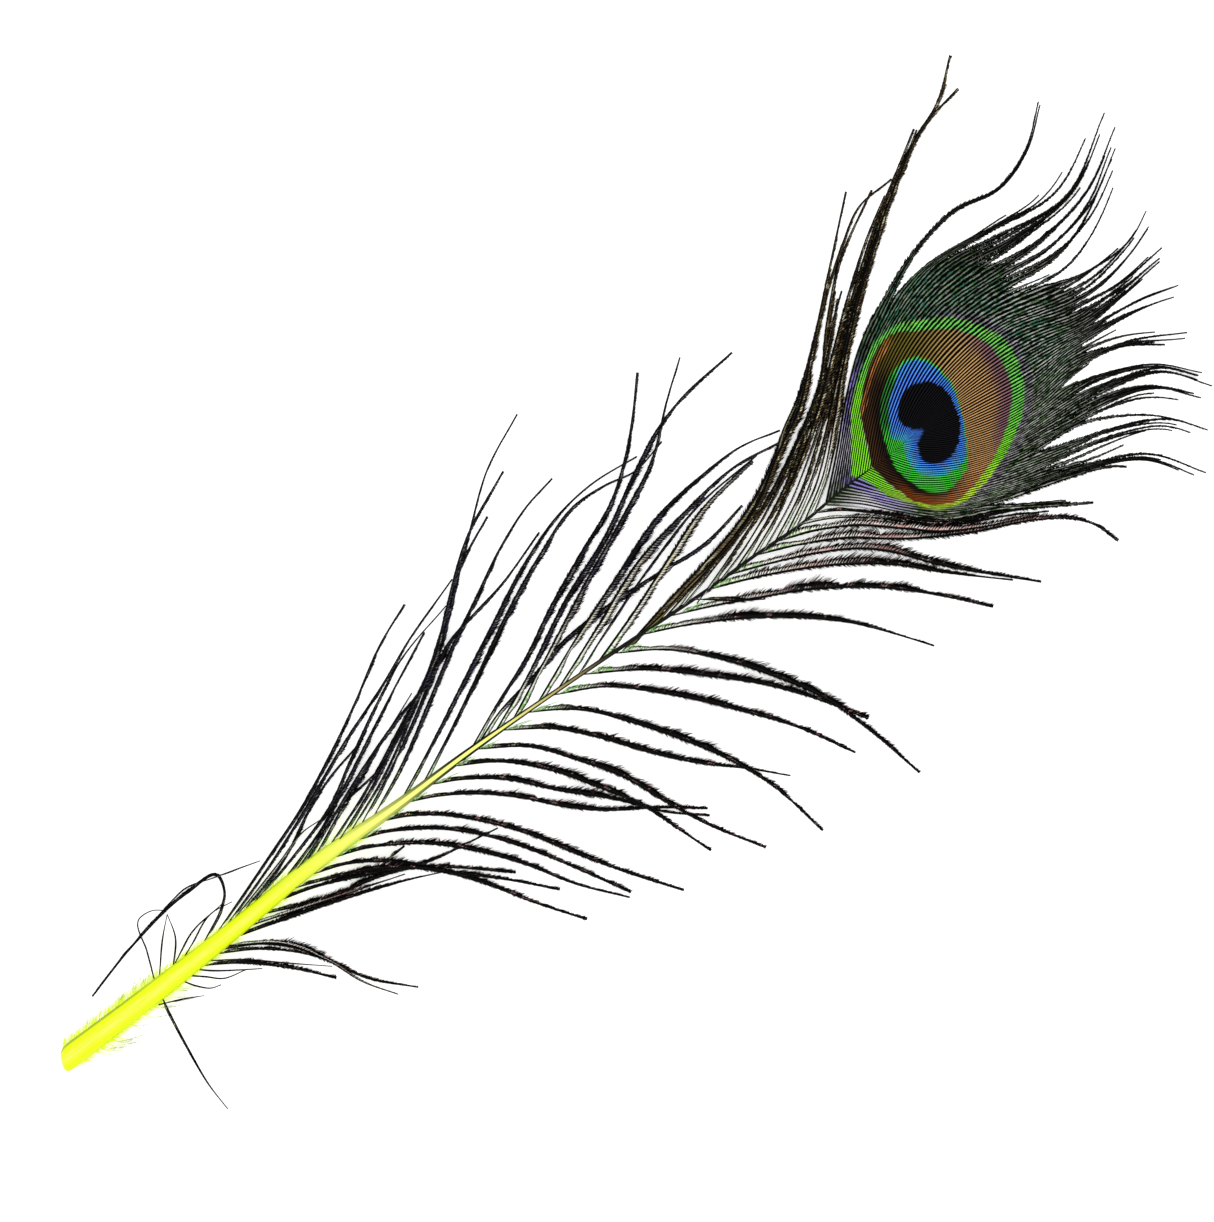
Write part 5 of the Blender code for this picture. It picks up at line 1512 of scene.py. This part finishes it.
def part_into_locks(lines, spread, t, rng):
    """Draws the outer lines together into small locks and those into large ones."""
    count = len(lines)
    lengths = steps_of(lines).sum(axis=1)
    small = numbered_locks(count, SMALL_LOCK, rng)
    large = numbered_locks(count, LARGE_LOCK, rng)
    parts = np.interp(spread, *zip(*LOCK_PARTING))
    parts = parts + for_locks(small, (-PARTING_SPREAD, PARTING_SPREAD), rng)
    tight = for_locks(small, SMALL_DRAW, rng) * (rng.random(count) > LONERS)
    drawn = for_locks(large, LARGE_DRAW, rng)
    drawn[:LOW_BARBS] = 0.0
    inner = np.arange(count) < count - FREE_BARBS
    sides = np.stack([sides_of(line) for line in lines])
    leaders = lines[leaders_of(small, lengths)[small]]
    lines = drawn_together(lines, leaders, tight * inner, t, parts[:, None], SMALL_DRAW_RUN)
    leaders = lines[leaders_of(large, lengths)[large]]
    lines = drawn_together(lines, leaders, drawn * inner, t, LARGE_DRAW_START, LARGE_DRAW_RUN)
    lines = drawn_together(lines, lines[-1:], FREE_DRAW * ~inner, t, FREE_DRAW_START,
                           FREE_DRAW_RUN)
    stray = rng.normal(0.0, STRAYING, (count, 1)) * ease(t[None, :], STRAYING_START, STRAYING_RUN)
    stray[-FREE_BARBS:] *= FREE_STRAYING
    shorter = rng.beta(*SHORTER_SHAPE, count) * SHORTER_MOST
    shorter[leaders_of(small, lengths)] *= SHORTER_LEADER
    shorter[leaders_of(large, lengths)] = 0.0
    shorter[[0, -1]] = 0.0
    return lines + sides * stray[..., None], sides, parts, 1.0 - shorter


def build_eye(sizes, colours):
    """Two objects that make the fan, the right half with the middle barb and the left half."""
    rng = np.random.default_rng([sizes.seed, EYE_SEED])
    t = np.linspace(0.0, 1.0, EYE_STATIONS)
    lines, sides, parts, ends = part_into_locks(*eye_lines(sizes.eye_barbs), t, rng)
    middle = len(lines) // 2 + 1
    material = eye_material(colours)
    for members, name in ((range(middle), "eye_barbs_right"),
                          (range(middle, len(lines)), "eye_barbs_left")):
        fibres = Fibres()
        for i in members:
            add_eye_barb(fibres, lines, sides, i, t, ends[i], parts[i], sizes, rng)
        add_zones(fibres)
        fibres.build(name, material, ["eye_vane"])


def barb_edges(lines, sides, i, keep, widest, free, parted):
    """Left and right edge of a barb of the eye, halfway to its neighbours where it can be."""
    line, side = lines[i][keep], sides[i][keep]
    edges = []
    for toward in (1, -1):
        gap = np.full(len(line), EYE_RIM_WIDTH)
        if 0 <= i + toward < len(lines):
            gap = np.abs(((lines[i + toward][keep] - line) * side).sum(axis=1)) / 2
            gap = np.where(parted, np.maximum(gap, free / 2), gap)
        edges.append(line + toward * side * np.minimum(gap + EYE_OVERLAP, widest)[:, None])
    return edges


def tapered(share, loss, start, run):
    return 1.0 - loss * ease(share, start, run)


def add_eye_barb(fibres, lines, sides, i, t, end, parting, sizes, rng):
    """One barb of the fan: touching its neighbours inside, thin and free beyond."""
    keep = t <= end
    line, side = lines[i][keep], sides[i][keep]
    along = lengths_along(line)
    share, t = t[keep] / end, t[keep]
    past = t - parting + EYE_PARTING_LEAD
    stout = i < STOUT_BARBS
    free = EYE_STOUT_WIDTH if stout else EYE_FREE_WIDTH
    widest = free + EYE_CLOSED_WIDTH * (1.0 - ease(past, 0.0, EYE_NARROWING_RUN))
    widest = widest * tapered(share, *EYE_TAPER)
    edges = barb_edges(lines, sides, i, keep, widest, free, t >= parting)
    # Every other barb has a strand value over a half, by which the pale corner tells them apart
    strand = (i % 2 + rng.random()) / 2
    lift = rng.uniform(*EYE_LIFTS) * ease(past, 0.0, EYE_LIFTING_RUN)
    top = surface_height(line) + EYE_HEIGHT + lift
    fibres.strip(line, *edges, top, EYE_ROOF, EYE_DEPTH, along, strand, ACROSS_EVEN)
    begin = np.interp(parting - EYE_HAIR_LEAD, t, along)
    fuller = rng.uniform(*EYE_FULLNESS) + (EYE_STOUT_FULLER if stout else 0.0)
    reach = sizes.barbule_length / MM * fuller * tapered(share, *EYE_HAIR_TAPER)
    for edge, turn in zip(edges, (1.0, -1.0)):
        add_fringe(fibres, edge, side * turn, top - EYE_HAIR_DROP, along, reach, turn, sizes,
                   rng, begin)


def add_zones(fibres):
    """Depth in the eye's colour zones, and the direction from its centre, at every point."""
    plan = np.vstack(fibres.points)[:, :2]
    scatter = (np.concatenate(fibres.values["strand"]) * ZONE_SCATTER) % 1.0
    outside, inside, iris, heart = (
        outline_distance(plan, place(outline)) + ZONE_UNEVENNESS * (scatter - 0.5)
        for outline in (RING_OUTSIDE, RING_INSIDE, IRIS, HEART))
    depth = np.where(outside < 0, 1.0 + outside / OUTER_ZONE_REACH, 1.0)
    for k, (entered, coming) in enumerate(((outside, inside), (inside, iris), (iris, heart))):
        crossed = np.clip(entered / np.maximum(entered - coming, NEARLY_NOTHING), 0.0, 1.0)
        depth = np.where(entered > 0, 1.0 + k + crossed, depth)
    depth = np.where(heart > 0, 4.0 + heart / HEART_ZONE_REACH, depth)
    arm = units(plan - place([EYE_CENTRE])[0])
    fibres.values.update(depth=[depth], tipward=[arm[:, 0]], leftward=[arm[:, 1]])


# ---------------------------------------------------------------- quill and down

def build_shaft(colours):
    """Smooth round shaft on the route of its solid, with a slanted, rounded cut end."""
    along = np.concatenate([SHAFT_CUT_RINGS,
                            np.arange(SHAFT_EVEN_RINGS, SHAFT_LENGTH, SHAFT_RING_SPACING)])
    radius = shaft_radius(along) * np.interp(along, *zip(*SHAFT_TRIM))
    slant = np.interp(along, CUT_SLANT_FADE, [CUT_SLANT, 0.0])[:, None]
    angle = 2 * np.pi * np.arange(SHAFT_SIDES) / SHAFT_SIDES
    out = radius[:, None] * np.cos(angle)
    rings = np.stack([SHAFT_START + along[:, None] + slant * out,
                      shaft_middle(along)[:, None] + out,
                      shaft_height(along)[:, None] + radius[:, None] * np.sin(angle)], axis=-1)
    fibres = Fibres()
    fibres.sections(rings, along=along[:, None], across=np.cos(angle)[None, :], strand=0.0)
    fibres.build("quill", quill_material(colours), ["shaft"], flat_map=False)


def add_down_hair(fibres, start, side, reach, forward, angle, thick):
    """One hair from the quill's side, bending forward and down to the floor."""
    radius = shaft_radius(start)
    s = np.linspace(0.0, 1.0, HAIR_STATIONS)
    base = shaft_height(start) + radius * math.sin(angle)
    path = np.column_stack([
        SHAFT_START + start + forward * s**DOWN_BEND,
        shaft_middle(start) + side * (radius * math.cos(angle) * DOWN_ROOT + reach * s**DOWN_BOW),
        np.maximum(base * (1 - DOWN_FALL * s), DOWN_CLEARANCE)])
    fibres.hair(path, thick, thick * DOWN_TIP, s, reach)


def build_down(sizes, colours):
    """Close fuzz along both sides of the quill, and a few long hairs that lean forward."""
    rng = np.random.default_rng([sizes.seed, DOWN_SEED])
    fibres = Fibres()
    for side, first, last, reach, forward, thick, share in DOWN_GROWTH:
        for _ in range(round(sizes.down_hairs * share)):
            start = rng.uniform(first, last)
            size = rng.uniform(*DOWN_SIZES) * (1.0 - DOWN_LOSS * ease(start, *DOWN_THINNING))
            add_down_hair(fibres, start, side, reach * size,
                          forward * size * rng.uniform(*DOWN_LEANS), rng.uniform(*DOWN_ANGLES),
                          thick)
    fibres.build("quill_down", down_material(colours), ["left_down", "right_down"])


# ---------------------------------------------------------------- studio

def add_to_scene(name, data):
    obj = bpy.data.objects.new(name, data)
    bpy.context.scene.collection.objects.link(obj)
    return obj


def build_floor(studio):
    """Plain floor under the feather."""
    r = FLOOR_REACH
    mesh = bpy.data.meshes.new("studio_floor")
    mesh.from_pydata([(-r, -r, 0), (r, -r, 0), (r, r, 0), (-r, r, 0)], [], [(0, 1, 2, 3)])
    mesh.materials.append(floor_material(studio))
    floor = add_to_scene("studio_floor", mesh)


def build_lights(scene, studio):
    """Soft round lamp overhead, and a white surrounding."""
    lamp = bpy.data.lights.new("soft_lamp", "AREA")
    lamp.shape = "DISK"
    lamp.size = LAMP_SIZE
    lamp.energy = studio.lamp
    add_to_scene("soft_lamp", lamp).location = (0.0, 0.0, LAMP_HEIGHT)
    world = bpy.data.worlds.new("studio_surroundings")
    world.use_nodes = True
    background = world.node_tree.nodes["Background"]
    background.inputs["Color"].default_value = (1.0, 1.0, 1.0, 1.0)
    background.inputs["Strength"].default_value = studio.sky
    scene.world = world


def build_camera(scene, studio):
    """Camera that looks straight down on the feather, turned as the photograph is."""
    view = bpy.data.cameras.new("photo_camera")
    view.sensor_width = SENSOR_WIDTH
    view.lens = studio.lens
    camera = add_to_scene("photo_camera", view)
    x, y = place([PHOTO_MIDDLE])[0] * MM
    tall = PHOTO_HEIGHT * SHEET_PER_PIXEL * MM
    camera.location = (x, y, tall * view.lens / view.sensor_width + SCALE_HEIGHT)
    camera.rotation_euler = (0.0, 0.0, -math.radians(LEAN))
    scene.camera = camera
    scene.view_settings.view_transform = "Standard"


# ---------------------------------------------------------------- operators

class FEATHER_OT_quill(bpy.types.Operator):
    """Build the quill and its tapering shaft"""

    bl_idname = "feather.quill"
    bl_label = "Quill"

    def execute(self, context):
        build_shaft(context.scene.feather_colours)
        return {"FINISHED"}


class FEATHER_OT_down(bpy.types.Operator):
    """Build the down along the quill"""

    bl_idname = "feather.down"
    bl_label = "Down"

    def execute(self, context):
        build_down(context.scene.feather_sizes, context.scene.feather_colours)
        return {"FINISHED"}


class FEATHER_OT_loose_barbs(bpy.types.Operator):
    """Build the loose barbs on both sides of the shaft"""

    bl_idname = "feather.loose_barbs"
    bl_label = "Loose barbs"

    def execute(self, context):
        sizes, colours = context.scene.feather_sizes, context.scene.feather_colours
        for piece in barb_pieces(colours):
            build_loose_barbs(piece, colours, sizes)
        return {"FINISHED"}


class FEATHER_OT_eye(bpy.types.Operator):
    """Build the fan of barbs that makes the eye"""

    bl_idname = "feather.eye"
    bl_label = "Eye"

    def execute(self, context):
        build_eye(context.scene.feather_sizes, context.scene.feather_colours)
        return {"FINISHED"}


class FEATHER_OT_studio(bpy.types.Operator):
    """Set up the floor, the soft light and the camera over the feather"""

    bl_idname = "feather.studio"
    bl_label = "Studio"

    def execute(self, context):
        studio = context.scene.feather_studio
        build_floor(studio)
        build_lights(context.scene, studio)
        build_camera(context.scene, studio)
        return {"FINISHED"}


class FEATHER_PT_panel(bpy.types.Panel):
    """Buttons that build the feather piece by piece"""

    bl_idname = "FEATHER_PT_panel"
    bl_label = "Peacock Feather"
    bl_space_type = "VIEW_3D"
    bl_region_type = "UI"
    bl_category = "Feather"

    def draw(self, context):
        for operator in OPERATORS:
            self.layout.operator(operator.bl_idname)
        for group in (context.scene.feather_sizes, context.scene.feather_colours,
                      context.scene.feather_studio):
            box = self.layout.box()
            for name in group.__annotations__:
                box.prop(group, name)


GROUPS = (FeatherSizes, FeatherColours, StudioSetup)
OPERATORS = (FEATHER_OT_quill, FEATHER_OT_down, FEATHER_OT_loose_barbs, FEATHER_OT_eye,
             FEATHER_OT_studio)


def register():
    for item in (*GROUPS, *OPERATORS, FEATHER_PT_panel):
        bpy.utils.register_class(item)
    bpy.types.Scene.feather_sizes = PointerProperty(type=FeatherSizes)
    bpy.types.Scene.feather_colours = PointerProperty(type=FeatherColours)
    bpy.types.Scene.feather_studio = PointerProperty(type=StudioSetup)


def unregister():
    del bpy.types.Scene.feather_sizes
    del bpy.types.Scene.feather_colours
    del bpy.types.Scene.feather_studio
    for item in reversed((*GROUPS, *OPERATORS, FEATHER_PT_panel)):
        bpy.utils.unregister_class(item)


def main():
    register()
    make_groups()
    bpy.ops.feather.quill()
    bpy.ops.feather.down()
    bpy.ops.feather.loose_barbs()
    bpy.ops.feather.eye()
    bpy.ops.feather.studio()


if __name__ == "__main__":
    main()
